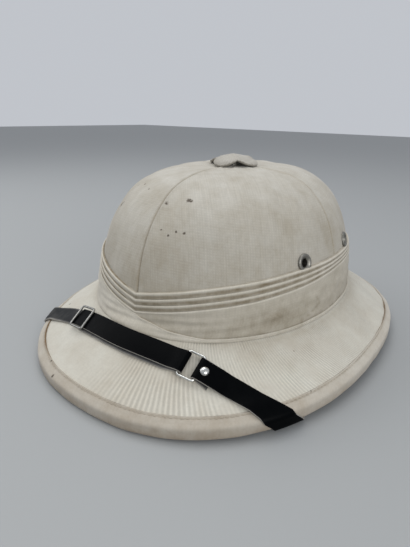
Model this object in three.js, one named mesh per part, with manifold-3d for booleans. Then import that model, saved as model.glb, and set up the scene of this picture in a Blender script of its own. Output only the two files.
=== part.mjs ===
// Pith helmet: a moulded pith shell covered in cloth gores, with a pleated puggaree,
// a scalloped vent cap, metal eyelets and a leather chin strap laid over the brim.
// Millimetres. The front faces -Y, +Z is up, and the origin is on the surface that the
// helmet rests on, under the middle of its brim.
import * as THREE from 'three'
import Module from 'manifold-3d'
import { mergeVertices } from 'three/addons/utils/BufferGeometryUtils.js'

const wasm = await Module()
wasm.setup()

// Cloth, wall and gap
const seatGap = 0.3
const clothThickness = 1.2
const shellWall = 7

// Brim: a plan that is a little squarer than an ellipse
const brimHalfWidth = 130.5
const brimHalfLength = 165
const brimSquareness = 2.28
const sideLift = 4.5
const restFlat = 12
const rimHeight = 9.6
const rimRound = 2.5
const bindingTop = 6
const bindingUnder = 7

// Crown
const crownHalfWidth = 93.4
const crownHalfLength = 111.8
const crownSquareness = 2.18
const crownRise = 94.2
const crownLead = 1.6
const crownTilt = 0.016
const domeFlatness = 2.03
const wallSteepness = 4.1
const seamGap = 0.3

// Foot line, where the hem of the puggaree meets the brim
const footHeight = 38
const hemFlareSide = 2.4
const hemFlareFront = 6.6
const footSquareness = 2.1

// Puggaree: heights are shares of the crown's rise, turn is degrees from the front
const foldCount = 3
const foldProud = 1.9
const foldTuck = 0.9
const foldLip = 0.45
const bandThickness = 1.5
const hemHeight = 3.5
const lapStep = 0.8
const lapTurn = 28
const puggareeTable = [
  { turn: 0, top: 0.247, pleats: 0.130 },
  { turn: 14, top: 0.310, pleats: 0.133 },
  { turn: 27, top: 0.359, pleats: 0.133 },
  { turn: 40, top: 0.389, pleats: 0.130 },
  { turn: 60, top: 0.414, pleats: 0.117 },
  { turn: 90, top: 0.407, pleats: 0.085 },
  { turn: 130, top: 0.400, pleats: 0.082 },
  { turn: 180, top: 0.400, pleats: 0.082 },
]

// Vent cap
const capRadius = 20.8
const capArchInset = 6.6
const capHeight = 8.6
const capArchHeight = 3.8
const capThickness = 1.4
const capDome = 1.5
const capLobeBreadth = 0.6
const ventRadius = 5
const postFootRadius = 9
const postFootThickness = 1.5

// Eyelets
const eyeletRadius = 6.2
const eyeletBore = 2.9
const eyeletWall = 0.8
const eyeletFlange = 1
const eyeletClinch = 5
const eyeletHeight = 0.451
const eyeletSpacing = 70
const eyeletLead = 7

// Chin strap
const strapWidth = 14.1
const strapThickness = 1.3
const wrapTurnLeft = 42.2
const wrapTurnRight = 44.3
const strapSweep = 2.6
const doubleShift = 1.8
const anchorTurn = 86
const anchorTail = 7
const anchorInset = 12
const anchorHeadRadius = 4
const anchorHeadThickness = 1.2
const anchorShankRadius = 1.6
const anchorDepth = 3.6

// Ring, slider and rivet on the strap, placed by their distance from the front centre
const wireRadius = 0.8
const wireCorner = 1.7
const ringLength = 11
const ringPlace = 53
const sliderLength = 15.5
const sliderPlace = -43
const sliderSkew = 12
const rivetHeadRadius = 2.85
const rivetDome = 1.5
const rivetShankRadius = 1.3
const rivetPlace = 3.7
const tailPlace = 9
const foldLead = 1
const tailShift = 1.8
const flattenRun = 9

// Fineness of the facets
const stations = 40
const crownRows = 8
const roundSides = 12
const wireSides = 6
const strapStep = 12
const courseSteps = 240

const degrees = Math.PI / 180
const clothBack = clothThickness + seatGap
const facetSag = brimHalfLength * (1 - Math.cos(Math.PI / stations))

// Materials
const paint = (color, roughness, metalness) => new THREE.MeshStandardMaterial({
  color, roughness, metalness })
const pith = () => paint(0xb9b19c, 0.9, 0)
const canvas = () => paint(0xb7b3a8, 0.9, 0)
const canvasShade = () => paint(0xa8a396, 0.9, 0)
const leather = () => paint(0x101113, 0.35, 0)
const nickel = () => paint(0xb9bbbd, 0.3, 1)

// Small helpers for numbers and outlines
const mix = (a, b, share) => a + (b - a) * share
const clamp = (value, low, high) => Math.min(high, Math.max(low, value))
const mixPoint = (a, b, share) => [mix(a[0], b[0], share), mix(a[1], b[1], share)]
const list = (count, make) => Array.from({ length: count }, (_, i) => make(i))

function oval(turn, halfWidth, halfLength, squareness) {
  const across = (Math.abs(Math.sin(turn)) / halfWidth) ** squareness
  const along = (Math.abs(Math.cos(turn)) / halfLength) ** squareness
  return (across + along) ** (-1 / squareness)
}

// A smooth curve through one column of a table whose rows are at rising turns
function tableAt(table, column, turnDegrees) {
  const last = table.length - 1
  let row = 0
  while (row < last - 1 && turnDegrees > table[row + 1].turn) row += 1
  const [start, end] = [table[row], table[row + 1]]
  const before = table[Math.max(row - 1, 0)]
  const after = table[Math.min(row + 2, last)]
  const span = end.turn - start.turn
  const slope = (end[column] - start[column]) / span
  const slopeStart = row === 0 ? slope : (end[column] - before[column]) / (end.turn - before.turn)
  const slopeEnd = row + 1 === last ? 0 : (after[column] - start[column]) / (after.turn - start.turn)
  const u = clamp((turnDegrees - start.turn) / span, 0, 1)
  const ease = u * u * (3 - 2 * u)
  const bow = u * (1 - u) * ((1 - u) * slopeStart - u * slopeEnd) * span
  return mix(start[column], end[column], ease) + bow
}

// Each cross-section stands in an upright plane through the crown's axis. A turn is
// measured from the front, r is the distance from the axis and z the height.
const place = (turn, r, z) => new THREE.Vector3(
  r * Math.sin(turn), -crownLead - r * Math.cos(turn), z)
const tiltAt = (turn, r) => crownTilt * (-crownLead - r * Math.cos(turn))
const brimRadius = turn => oval(turn, brimHalfWidth, brimHalfLength, brimSquareness)
  - crownLead * Math.cos(turn)
const crownRadius = turn => oval(turn, crownHalfWidth, crownHalfLength, crownSquareness)
const footRadius = turn => oval(turn, crownHalfWidth + hemFlareSide,
  crownHalfLength + hemFlareFront, footSquareness)

function rimLift(turn) {
  const flat = Math.sin(restFlat * degrees)
  const share = clamp((Math.abs(Math.sin(turn)) - flat) / (1 - flat), 0, 1)
  return sideLift * share ** 1.5
}

// The crown's wall at a height above the foot, given as a share of the crown's rise
const crownReach = share => (1 - clamp(share, 0, 1) ** domeFlatness) ** (1 / wallSteepness)
function crownPoint(turn, share) {
  const r = crownRadius(turn) * crownReach(share)
  return [r, footHeight + crownRise * share + tiltAt(turn, r)]
}

// Moves a line of points sideways by a distance, with mitred corners.
// The outside lies to the left of a line that runs from the apex to the rim.
function offsetLine(points, distance) {
  return points.map((point, i) => {
    const before = points[Math.max(i - 1, 0)]
    const after = points[Math.min(i + 1, points.length - 1)]
    const normals = [[before, point], [point, after]]
      .filter(([a, b]) => a !== b)
      .map(([a, b]) => [a[1] - b[1], b[0] - a[0]])
      .map(([nr, nz]) => [nr / Math.hypot(nr, nz), nz / Math.hypot(nr, nz)])
    const sum = normals.reduce((total, n) => [total[0] + n[0], total[1] + n[1]], [0, 0])
    const reach = distance * normals.length / Math.hypot(...sum) ** 2
    return [point[0] + sum[0] * reach, point[1] + sum[1] * reach]
  })
}

// The straight top of the brim, from the foot of the hem to where the rim starts to round
function brimLine(turn) {
  const rFoot = footRadius(turn)
  const foot = [rFoot, footHeight + tiltAt(turn, rFoot)]
  const rim = brimRadius(turn)
  const lift = rimLift(turn)
  const centre = [rim - rimRound, lift + rimHeight - rimRound]
  const reach = Math.hypot(centre[0] - foot[0], centre[1] - foot[1])
  const slope = Math.atan2(centre[1] - foot[1], centre[0] - foot[0]) + Math.asin(rimRound / reach)
  const length = Math.sqrt(reach ** 2 - rimRound ** 2)
  const way = [Math.cos(slope), Math.sin(slope)]
  const end = [foot[0] + way[0] * length, foot[1] + way[1] * length]
  return { foot, end, way, slope, length, rim, lift, centre }
}

// Where the crown's wall and the brim's top would meet without the fillet between them
function innerCorner(turn, line) {
  let share = 0
  for (let step = 0; step < 4; step += 1) {
    const r = crownRadius(turn) * crownReach(share)
    const z = line.foot[1] + (r - line.foot[0]) * Math.tan(line.slope)
    share = (z - footHeight - tiltAt(turn, r)) / crownRise
  }
  return { share, point: crownPoint(turn, share) }
}

// The outer face of the cloth at one turn, from the vent hole to the end of the binding
function outerFace(turn) {
  const line = brimLine(turn)
  const corner = innerCorner(turn, line)
  const leg = 0.8 * Math.hypot(line.foot[0] - corner.point[0], line.foot[1] - corner.point[1])
  const wallFoot = corner.share + leg / crownRise
  const firstAngle = Math.asin((ventRadius / crownRadius(turn)) ** (wallSteepness / 2))
  const lastAngle = Math.acos(wallFoot ** (domeFlatness / 2))
  const crown = list(crownRows + 1, i => {
    const angle = mix(firstAngle, lastAngle, (i / crownRows) ** 1.5)
    return crownPoint(turn, Math.cos(angle) ** (2 / domeFlatness))
  })
  const wallEnd = crown[crownRows]
  const filletEnd = [corner.point[0] + line.way[0] * leg, corner.point[1] + line.way[1] * leg]
  const fillet = mixPoint(corner.point, mixPoint(wallEnd, filletEnd, 0.5), 0.5)
  const stitch = mixPoint(line.end, line.foot, bindingTop / line.length)
  const low = [line.centre[0], line.lift + rimRound]
  const onRound = (centre, angle) => [centre[0] + rimRound * Math.cos(angle),
    centre[1] + rimRound * Math.sin(angle)]
  const rim = [onRound(line.centre, Math.PI / 4 + line.slope / 2), onRound(line.centre, 0),
    onRound(low, 0), onRound(low, -Math.PI / 4), onRound(low, -Math.PI / 2)]
  const depth = shellWall + 2 * clothBack
  const under = [line.end[0] + depth * line.way[1], line.end[1] - depth * line.way[0]]
  const landEnd = [under[0] + (line.lift - under[1]) / Math.tan(line.slope), line.lift]
  const underEnd = [landEnd[0] - line.way[0] * bindingUnder, landEnd[1] - line.way[1] * bindingUnder]
  return { line, crown, wallFoot, fillet, filletEnd, stitch, rim, landEnd, underEnd }
}

// Turns a geometry into one closed body: shared corners are merged, slivers of no area are
// left out and its faces point outward.
function closeBody(geometry) {
  const plain = geometry.clone()
  plain.deleteAttribute('normal')
  plain.deleteAttribute('uv')
  const merged = mergeVertices(plain, 1e-4)
  const index = Array.from(merged.index.array)
  const corner = i => new THREE.Vector3().fromBufferAttribute(merged.attributes.position, i)
  const faces = list(index.length / 3, i => index.slice(3 * i, 3 * i + 3))
    .filter(([a, b, c]) => a !== b && b !== c && c !== a)
  const volume = faces.reduce((total, [a, b, c]) => total
    + corner(a).dot(corner(b).cross(corner(c))) / 6, 0)
  merged.setIndex(faces.flatMap(face => (volume < 0 ? [...face].reverse() : face)))
  return merged
}

// Skins loops of points in order, each four points split along their shorter diagonal, so
// layers that lie on each other split alike. An open run is capped by pairing a loop's halves.
function loft(loops, closed) {
  const size = loops[0].length
  const end = loops.length - 1
  const triangles = []
  const at = (i, j) => (i % loops.length) * size + (j % size)
  const points = loops.flat()
  const quad = (a, b, c, d) => {
    const first = points[a].distanceTo(points[c]) < points[b].distanceTo(points[d])
    triangles.push(...(first ? [a, b, c, a, c, d] : [b, c, d, b, d, a]))
  }
  for (let i = 0; i < (closed ? loops.length : end); i += 1) {
    for (let j = 0; j < size; j += 1) quad(at(i, j), at(i, j + 1), at(i + 1, j + 1), at(i + 1, j))
  }
  for (let j = 0; !closed && j < size / 2 - 1; j += 1) {
    quad(at(0, j), at(0, size - 1 - j), at(0, size - 2 - j), at(0, j + 1))
    quad(at(end, j), at(end, j + 1), at(end, size - 2 - j), at(end, size - 1 - j))
  }
  const geometry = new THREE.BufferGeometry()
  const positions = points.flatMap(v => [v.x, v.y, v.z])
  geometry.setAttribute('position', new THREE.Float32BufferAttribute(positions, 3))
  geometry.setIndex(triangles)
  return closeBody(geometry)
}

// Cuts holes with closed tools
function toSolid(geometry) {
  return new wasm.Manifold(new wasm.Mesh({
    numProp: 3,
    vertProperties: new Float32Array(geometry.attributes.position.array),
    triVerts: new Uint32Array(geometry.index.array),
  }))
}
function cut(geometry, tools) {
  const solid = tools.reduce((rest, tool) => rest.subtract(toSolid(tool)), toSolid(geometry))
  const mesh = solid.getMesh()
  const result = new THREE.BufferGeometry()
  result.setAttribute('position', new THREE.BufferAttribute(mesh.vertProperties, 3))
  result.setIndex(new THREE.BufferAttribute(mesh.triVerts, 1))
  return closeBody(result)
}

const helmet = new THREE.Group()
function addPiece(name, geometry, material) {
  const mesh = new THREE.Mesh(geometry, material)
  mesh.name = name
  helmet.add(mesh)
}

// A round piece about an axis through a point. Its outline closes on itself and lists
// [radius, distance along the axis].
function turned(outline, point, axis) {
  const profile = [...outline, outline[0]].map(([r, h]) => new THREE.Vector2(r, h))
  const geometry = new THREE.LatheGeometry(profile, roundSides)
  geometry.applyQuaternion(new THREE.Quaternion().setFromUnitVectors(new THREE.Vector3(0, 1, 0), axis))
  geometry.translate(point.x, point.y, point.z)
  return closeBody(geometry)
}
const plug = (radius, low, high, point, axis) => turned(
  [[0, low], [radius, low], [radius, high], [0, high]], point, axis)

const turns = list(stations, i => (i / stations) * 2 * Math.PI)
const faces = turns.map(outerFace)
const stand = (turn, points) => points.map(([r, z]) => place(turn, r, z))
const clothLoop = (turn, outer) => stand(turn, [
  ...outer, ...offsetLine(outer, -clothThickness).reverse()])

// Starts a line a gap further on, which parts two cloths that meet edge to edge
function trimStart([first, second, ...rest], gap) {
  const length = Math.hypot(second[0] - first[0], second[1] - first[1])
  return [mixPoint(first, second, gap / length), second, ...rest]
}

// Eyelets: two on each side of the crown, square to its wall
function eyeletAt(name, side, lead) {
  const step = 0.01
  const turn = Math.atan2(side * crownHalfWidth * crownReach(eyeletHeight), lead)
  const onWall = (dTurn, dShare) => place(
    turn + dTurn, ...crownPoint(turn + dTurn, eyeletHeight + dShare))
  const centre = onWall(0, 0)
  const outward = onWall(step, 0).sub(centre).cross(onWall(0, step).sub(centre)).normalize()
  return { name, centre, outward }
}
const eyelets = [
  eyeletAt('eyelet_front_left', 1, eyeletLead + eyeletSpacing / 2),
  eyeletAt('eyelet_front_right', -1, eyeletLead + eyeletSpacing / 2),
  eyeletAt('eyelet_back_left', 1, eyeletLead - eyeletSpacing / 2),
  eyeletAt('eyelet_back_right', -1, eyeletLead - eyeletSpacing / 2),
]
const eyeletHoles = eyelets.map(({ centre, outward }) => plug(
  eyeletBore + eyeletWall + seatGap, -3 * shellWall, 2 * shellWall, centre, outward))
const eyeletRecesses = eyelets.map(({ centre, outward }) => plug(
  eyeletRadius + seatGap, -clothThickness, 2 * shellWall, centre, outward))

function addEyelet({ name, centre, outward }) {
  const barrel = eyeletBore + eyeletWall
  const back = -(clothBack + shellWall + seatGap + facetSag)
  const front = seatGap + eyeletFlange
  addPiece(name, turned([
    [eyeletBore, back - eyeletFlange], [eyeletClinch, back - eyeletFlange], [eyeletClinch, back],
    [barrel, back], [barrel, seatGap], [eyeletRadius, seatGap],
    [eyeletRadius, mix(seatGap, front, 0.5)], [mix(barrel, eyeletRadius, 0.6), front],
    [eyeletBore, mix(seatGap, front, 0.5)],
  ], centre, outward), nickel())
}

// The strap's course over the rim. s runs over the cloth, square to the rim: 0 is where the
// rim starts to round, less than 0 is up the brim, and more is round the rim and under it.
function rimStages(turn) {
  const { line, landEnd } = outerFace(turn)
  const topArc = rimRound * (Math.PI / 2 + line.slope)
  const face = topArc + rimHeight - 2 * rimRound
  const lowArc = face + rimRound * Math.PI / 2
  return { line, landEnd, topArc, face, lowArc, land: lowArc + line.centre[0] - landEnd[0] }
}
function rimPoint(turn, s, height) {
  const { line, landEnd, topArc, face, lowArc, land } = rimStages(turn)
  const { way, end, centre, lift, rim } = line
  const at = (r, z, nr, nz) => place(turn, r + nr * height, z + nz * height)
  if (s <= 0) return at(end[0] + way[0] * s, end[1] + way[1] * s, -way[1], way[0])
  if (s > topArc && s <= face) return at(rim, centre[1] - (s - topArc), 1, 0)
  if (s > lowArc && s <= land) return at(centre[0] - (s - lowArc), lift, 0, -1)
  if (s > land) {
    return at(landEnd[0] - way[0] * (s - land), landEnd[1] - way[1] * (s - land), way[1], -way[0])
  }
  const angle = s <= topArc ? (topArc - s) / rimRound : (face - s) / rimRound
  const roundHeight = s <= topArc ? centre[1] : lift + rimRound
  const [nr, nz] = [Math.cos(angle), Math.sin(angle)]
  return at(centre[0] + rimRound * nr, roundHeight + rimRound * nz, nr, nz)
}

// The middle of the strap on the brim: close to the hem at the front, over the rim at its wraps
const wrapTurn = side => (side > 0 ? wrapTurnRight : wrapTurnLeft) * degrees
const hemClear = (strapWidth / 2 + 2 * seatGap) / brimLine(0).length
function strapCourse(side, share) {
  const turn = side * wrapTurn(side) * share
  return { turn, s: (mix(hemClear, 1, share ** strapSweep) - 1) * brimLine(turn).length }
}
const coursePoint = (side, share) => {
  const { turn, s } = strapCourse(side, share)
  return rimPoint(turn, s, 0)
}
const courseRows = side => list(courseSteps, i => i + 1).reduce((rows, i) => {
  const last = rows[rows.length - 1]
  const point = coursePoint(side, i / courseSteps)
  return [...rows, { share: i / courseSteps, point, distance: last.distance + point.distanceTo(last.point) }]
}, [{ share: 0, point: coursePoint(side, 0), distance: 0 }])
const courses = { right: courseRows(1), left: courseRows(-1) }
const courseLength = side => (side > 0 ? courses.right : courses.left)[courseSteps].distance

// The strap's directions at a distance from the front centre, more than 0 toward +X
function strapFrame(distance) {
  const side = distance < 0 ? -1 : 1
  const rows = side > 0 ? courses.right : courses.left
  const row = clamp(rows.findIndex(entry => entry.distance >= Math.abs(distance)), 1, courseSteps)
  const [low, high] = [rows[row - 1], rows[row]]
  const part = (Math.abs(distance) - low.distance) / (high.distance - low.distance)
  const { turn, s } = strapCourse(side, mix(low.share, high.share, part))
  const here = rimPoint(turn, s, 0)
  const up = rimPoint(turn, s, 1).sub(here).normalize()
  const along = high.point.clone().sub(low.point).multiplyScalar(side)
  const across = up.clone().cross(along).normalize()
  return { here, up, across, forward: across.clone().cross(up) }
}

// A strap section has three points on its face near the cloth and three on its far face
const lanes = [-1, 0, 1]
const section = (near, far) => ({ near, far })
const nearFirst = ({ near, far }) => [...near, ...[...far].reverse()]
const farFirst = ({ near, far }) => [...far, ...[...near].reverse()]

// A flat section with its near face at a height above the brim
function layFlat(distance, height, shift = 0) {
  const frame = strapFrame(distance)
  const lane = (v, lift) => {
    const point = frame.here.clone().addScaledVector(frame.across, v * strapWidth / 2 - shift)
    const turn = Math.atan2(point.x, -(point.y + crownLead))
    const line = brimLine(turn)
    const r = Math.hypot(point.x, point.y + crownLead)
    return rimPoint(turn, (r - line.end[0]) / line.way[0], lift)
  }
  return section(lanes.map(v => lane(v, height)), lanes.map(v => lane(v, height + strapThickness)))
}

// Heights of the strap's layers and wires over the brim
const lowerLay = seatGap
const upperLay = lowerLay + strapThickness + seatGap
const ringLay = upperLay + wireRadius
const foldLay = ringLay + wireRadius + seatGap
const sliderLay = upperLay + strapThickness + seatGap + wireRadius
const ringLeft = ringPlace - ringLength / 2
const ringRight = ringPlace + ringLength / 2
const sliderLeft = sliderPlace - sliderLength / 2
const sliderRight = sliderPlace + sliderLength / 2

// Sections of the fold round a bar of the ring, from its lower side to its upper one
function foldLoops(distance, direction) {
  const { here, up, across, forward } = strapFrame(distance)
  const centre = here.clone().addScaledVector(up, ringLay)
  return [-90, -45, 0, 45, 90].map(angle => {
    const lane = (v, radius) => centre.clone()
      .addScaledVector(across, v * strapWidth / 2)
      .addScaledVector(forward, direction * radius * Math.cos(angle * degrees))
      .addScaledVector(up, radius * Math.sin(angle * degrees))
    const inner = wireRadius + seatGap
    return farFirst(section(lanes.map(v => lane(v, inner)),
      lanes.map(v => lane(v, inner + strapThickness))))
  })
}

// The strap's way round the rim, where every section follows one line along the rim
function wrapSections(side) {
  const turn = wrapTurn(side)
  const radius = brimRadius(turn)
  const last = strapCourse(side, 1 - 1 / courseSteps)
  const slant = Math.atan2(-last.s, radius * (turn - Math.abs(last.turn)))
  const { topArc, face, lowArc, land } = rimStages(turn)
  const depths = [0, topArc / 2, topArc, face, (face + lowArc) / 2, lowArc, land, land + bindingUnder]
  return depths.map(depth => {
    const turnAt = v => side * (turn + (depth / Math.tan(slant)
      + v * strapWidth / 2 / Math.sin(slant)) / radius)
    return section(lanes.map(v => rimPoint(turnAt(v), depth, seatGap)),
      lanes.map(v => rimPoint(turnAt(v), depth, seatGap + strapThickness)))
  })
}

// The bare underside of the shell beside the head opening, where a rivet holds the strap's end
function undersidePoint(turn, inset, height) {
  const { foot, way } = brimLine(turn)
  const depth = clothBack + shellWall + height
  return place(turn, foot[0] + way[0] * inset + way[1] * depth, foot[1] + way[1] * inset - way[0] * depth)
}
const anchorSeat = seatGap + facetSag
function anchorSections(side) {
  const tail = anchorTail / (footRadius(Math.PI / 2) + anchorInset)
  return [anchorTurn * degrees - tail, anchorTurn * degrees + tail].map(turn => {
    const lane = (v, height) => undersidePoint(side * turn, anchorInset + v * strapWidth / 2, height)
    return section(lanes.map(v => lane(v, anchorSeat)),
      lanes.map(v => lane(v, anchorSeat + strapThickness)))
  })
}
function anchorAxis(side) {
  const seat = undersidePoint(side * anchorTurn * degrees, anchorInset, 0)
  const upward = seat.clone().sub(undersidePoint(side * anchorTurn * degrees, anchorInset, 1)).normalize()
  return { seat, upward }
}
const anchorHole = (side, high) => {
  const { seat, upward } = anchorAxis(side)
  return plug(anchorShankRadius + seatGap, -2 * shellWall, high, seat, upward)
}
function addAnchor(name, side) {
  const { seat, upward } = anchorAxis(side)
  const under = -(anchorSeat + strapThickness + seatGap)
  addPiece(name, turned([
    [0, under - anchorHeadThickness], [anchorHeadRadius * 0.7, under - anchorHeadThickness],
    [anchorHeadRadius, under - anchorHeadThickness / 2], [anchorHeadRadius, under],
    [anchorShankRadius, under], [anchorShankRadius, anchorDepth], [0, anchorDepth],
  ], seat, upward), nickel())
}

// Distances from one place to another in even steps
function paces(from, to) {
  const count = Math.max(1, Math.ceil(Math.abs(to - from) / strapStep))
  return list(count + 1, i => mix(from, to, i / count))
}
const wrapStart = side => courseLength(side) - strapWidth

// The long side: from its anchor round the rim, under the slider to the ring, and back on
// top of itself to the slider
function strapLong() {
  const shiftAt = distance => (distance > sliderLeft && distance < ringLeft - foldLead ? doubleShift : 0)
  const hidden = [...anchorSections(-1).reverse(), ...wrapSections(-1).reverse()]
  const lower = [...paces(-wrapStart(-1), sliderLeft - foldLead),
    ...paces(sliderLeft + foldLead, ringLeft - foldLead)]
    .map(distance => layFlat(distance, lowerLay, shiftAt(distance)))
  const upper = paces(ringLeft - flattenRun, sliderLeft)
    .map(distance => layFlat(distance, upperLay))
  return loft([...[...hidden, ...lower].map(nearFirst), ...foldLoops(ringLeft, 1),
    ...upper.map(farFirst)], false)
}

// The short side: a riveted tail, the fold round the ring, and the strap on top of the tail
// that comes down to the brim and goes round the rim to its anchor
const shortTail = [layFlat(ringRight + tailPlace, lowerLay, tailShift),
  layFlat(ringRight + foldLead, lowerLay)]
const shortFold = foldLoops(ringRight, -1)
const shortPlate = layFlat(ringRight + tailPlace + foldLead, upperLay)
function strapShort() {
  const descent = paces(ringRight + 2 * tailPlace + strapThickness, wrapStart(1))
    .map(distance => layFlat(distance, lowerLay))
  const hidden = [...wrapSections(1), ...anchorSections(1)]
  return loft([...shortTail.map(nearFirst), ...shortFold,
    ...[shortPlate, ...descent, ...hidden].map(farFirst)], false)
}

// The rivet stands square to the plate between the fold and the end of the tail
function rivetAxis() {
  const foldTop = shortFold[shortFold.length - 1][1]
  const plateEnd = shortPlate.far[1]
  const along = plateEnd.clone().sub(foldTop)
  const seat = foldTop.clone().addScaledVector(along, rivetPlace / (tailPlace + foldLead))
  const { across } = strapFrame(ringRight + rivetPlace)
  return { seat, outward: along.cross(across).normalize() }
}
const rivetDepth = foldLay - lowerLay + strapThickness / 2
function addRivet() {
  const { seat, outward } = rivetAxis()
  addPiece('strap_rivet', turned([
    [0, -rivetDepth], [rivetShankRadius, -rivetDepth], [rivetShankRadius, seatGap],
    [rivetHeadRadius, seatGap], [rivetHeadRadius * 0.8, seatGap + rivetDome * 0.6],
    [rivetHeadRadius * 0.4, seatGap + rivetDome * 0.93], [0, seatGap + rivetDome],
  ], seat, outward), nickel())
}
const rivetHole = () => {
  const { seat, outward } = rivetAxis()
  return plug(rivetShankRadius + seatGap, -2 * foldLay, foldLay, seat, outward)
}

// A rectangle of round wire with its long bars across the strap
function wireFrame(left, right, height, skew) {
  const [start, end] = [strapFrame(left), strapFrame(right)]
  const length = right - left
  const width = strapWidth + 2 * (wireRadius + 2 * seatGap)
  const blend = (key, share) => start[key].clone().lerp(end[key], share)
  const corners = [[1, 1, 0], [-1, 1, 90], [-1, -1, 180], [1, -1, 270]]
  const path = corners.flatMap(([a, b, angle]) => [0, 45, 90].map(bend => {
    const way = (angle + bend) * degrees
    const x = a * (length / 2 - wireCorner) + wireCorner * Math.cos(way)
    const y = b * (width / 2 - wireCorner) + wireCorner * Math.sin(way)
    return { x, y, way }
  }))
  return loft(path.map(({ x, y, way }) => {
    const share = (x - y * Math.tan(skew * degrees)) / length + 0.5
    const [here, up, across, forward] = ['here', 'up', 'across', 'forward'].map(key => blend(key, share))
    const centre = here.addScaledVector(up, height).addScaledVector(across, y)
    const outward = forward.multiplyScalar(Math.cos(way)).addScaledVector(across, Math.sin(way))
    return list(wireSides, i => {
      const angle = (i / wireSides) * 2 * Math.PI
      return centre.clone().addScaledVector(outward, wireRadius * Math.cos(angle))
        .addScaledVector(up, wireRadius * Math.sin(angle))
    })
  }), true)
}

// The shell of moulded pith is open below, with a hole under the vent cap. Its crown and its
// brim meet in the fillet between them, and each is in four quarters.
function shellLoops(turn, face) {
  const { crown, fillet, filletEnd, stitch, line, rim, landEnd, underEnd } = face
  const top = [...crown, fillet, filletEnd]
  const outer = offsetLine([...top, stitch, line.end, ...rim, landEnd, underEnd], -clothBack)
    .slice(0, -1)
  const inner = offsetLine([...top, line.end], -clothBack - shellWall).slice(0, -1)
  const joint = crown.length
  return {
    crown: stand(turn, [...outer.slice(0, joint + 1), ...inner.slice(0, joint + 1).reverse()]),
    brim: stand(turn, [...trimStart(outer.slice(joint), seatGap),
      ...trimStart(inner.slice(joint), seatGap).reverse()]),
  }
}
const shellSections = turns.map((turn, i) => shellLoops(turn, faces[i]))

// One quarter of a ring of sections, with half a gap at each end to part it from the next
const quarterNames = ['front_left', 'back_left', 'back_right', 'front_right']
const quarterSpan = stations / quarterNames.length
function quarterLoops(sections, quarter, gap) {
  return list(quarterSpan + 1, i => {
    const station = (quarter * quarterSpan + i) % stations
    const turn = turns[station]
    const inset = gap / 2 * ((i === 0) - (i === quarterSpan))
    const aside = new THREE.Vector3(Math.cos(turn), Math.sin(turn), 0).multiplyScalar(inset)
    return sections[station].map(point => point.clone().add(aside))
  })
}

// The shell in quarters, and four gores of cloth over its crown, seamed at the front, the
// back and both sides
const anchorBores = [1, -1].map(side => anchorHole(side, anchorDepth + seatGap))
const crownSections = shellSections.map(({ crown }) => crown)
const brimSections = shellSections.map(({ brim }) => brim)
const goreSections = turns.map((turn, i) => clothLoop(turn, faces[i].crown))
quarterNames.forEach((name, quarter) => {
  const body = (sections, gap) => loft(quarterLoops(sections, quarter, gap), false)
  addPiece(`pith_crown_${name}`, cut(body(crownSections, seatGap), eyeletHoles), pith())
  addPiece(`pith_brim_${name}`, cut(body(brimSections, seatGap), anchorBores), pith())
  addPiece(`crown_gore_${name}`, cut(body(goreSections, seamGap), eyeletHoles), canvas())
})

// The cloth on top of the brim, and the binding sewn over the rim
addPiece('brim_cover', loft(turns.map((turn, i) => {
  const { crown, fillet, filletEnd, stitch } = faces[i]
  return clothLoop(turn, trimStart([crown[crownRows], fillet, filletEnd, stitch], seatGap))
}), true), canvas())
addPiece('edge_binding', loft(turns.map((turn, i) => {
  const { stitch, line, rim, landEnd, underEnd } = faces[i]
  return clothLoop(turn, trimStart([stitch, line.end, ...rim, landEnd, underEnd], seatGap))
}), true), canvas())

// The puggaree: fold edges that face up, a smooth band under them, and the lap of its end,
// which comes down from the V at the front and carries on as the hem
function puggareeLoop(turn, face) {
  const signed = turn > Math.PI ? turn - 2 * Math.PI : turn
  const turnDegrees = Math.abs(signed) / degrees
  const top = tableAt(puggareeTable, 'top', turnDegrees)
  const pleats = tableAt(puggareeTable, 'pleats', turnDegrees)
  const bandTop = top - pleats
  const lip = foldLip / crownRise
  const wall = (share, off) => {
    const [r, z] = crownPoint(turn, share)
    return [r + off, z]
  }
  const { foot, way } = face.line
  const flare = foot[0] - crownRadius(turn) - bandThickness - lapStep
  const band = (share, off) => wall(share, bandThickness + off
    + flare * clamp((bandTop - share) / bandTop, 0, 1) ** 2)
  const ease = clamp(Math.min(turnDegrees, 180 - turnDegrees) / lapTurn, 0, 1)
  const highLap = bandTop - 2 * lip
  const lap = signed < 0 ? highLap : mix(highLap, hemHeight / crownRise, ease)
  const folds = list(foldCount, i => top - pleats * (i + 1) / foldCount)
    .flatMap(share => [wall(share + lip, foldTuck), wall(share, foldProud)])
  const hem = [foot[0] - way[1] * seatGap, foot[1] + way[0] * seatGap]
  const outer = [wall(top, foldProud), ...folds, band(mix(bandTop, lap, 0.5), 0),
    band(lap + lip / 2, 0), band(lap - lip / 2, lapStep), band(lap / 2, lapStep), hem]
  const back = [top, mix(top, face.wallFoot, 1 / 3), mix(top, face.wallFoot, 2 / 3), face.wallFoot]
    .map(share => wall(share, 0))
  const inner = offsetLine([...back, face.fillet, face.filletEnd], seatGap)
  return stand(turn, [...outer, ...inner.reverse()])
}
addPiece('puggaree', cut(loft(turns.map((turn, i) => puggareeLoop(turn, faces[i])), true),
  eyeletRecesses), canvasShade())

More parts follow.
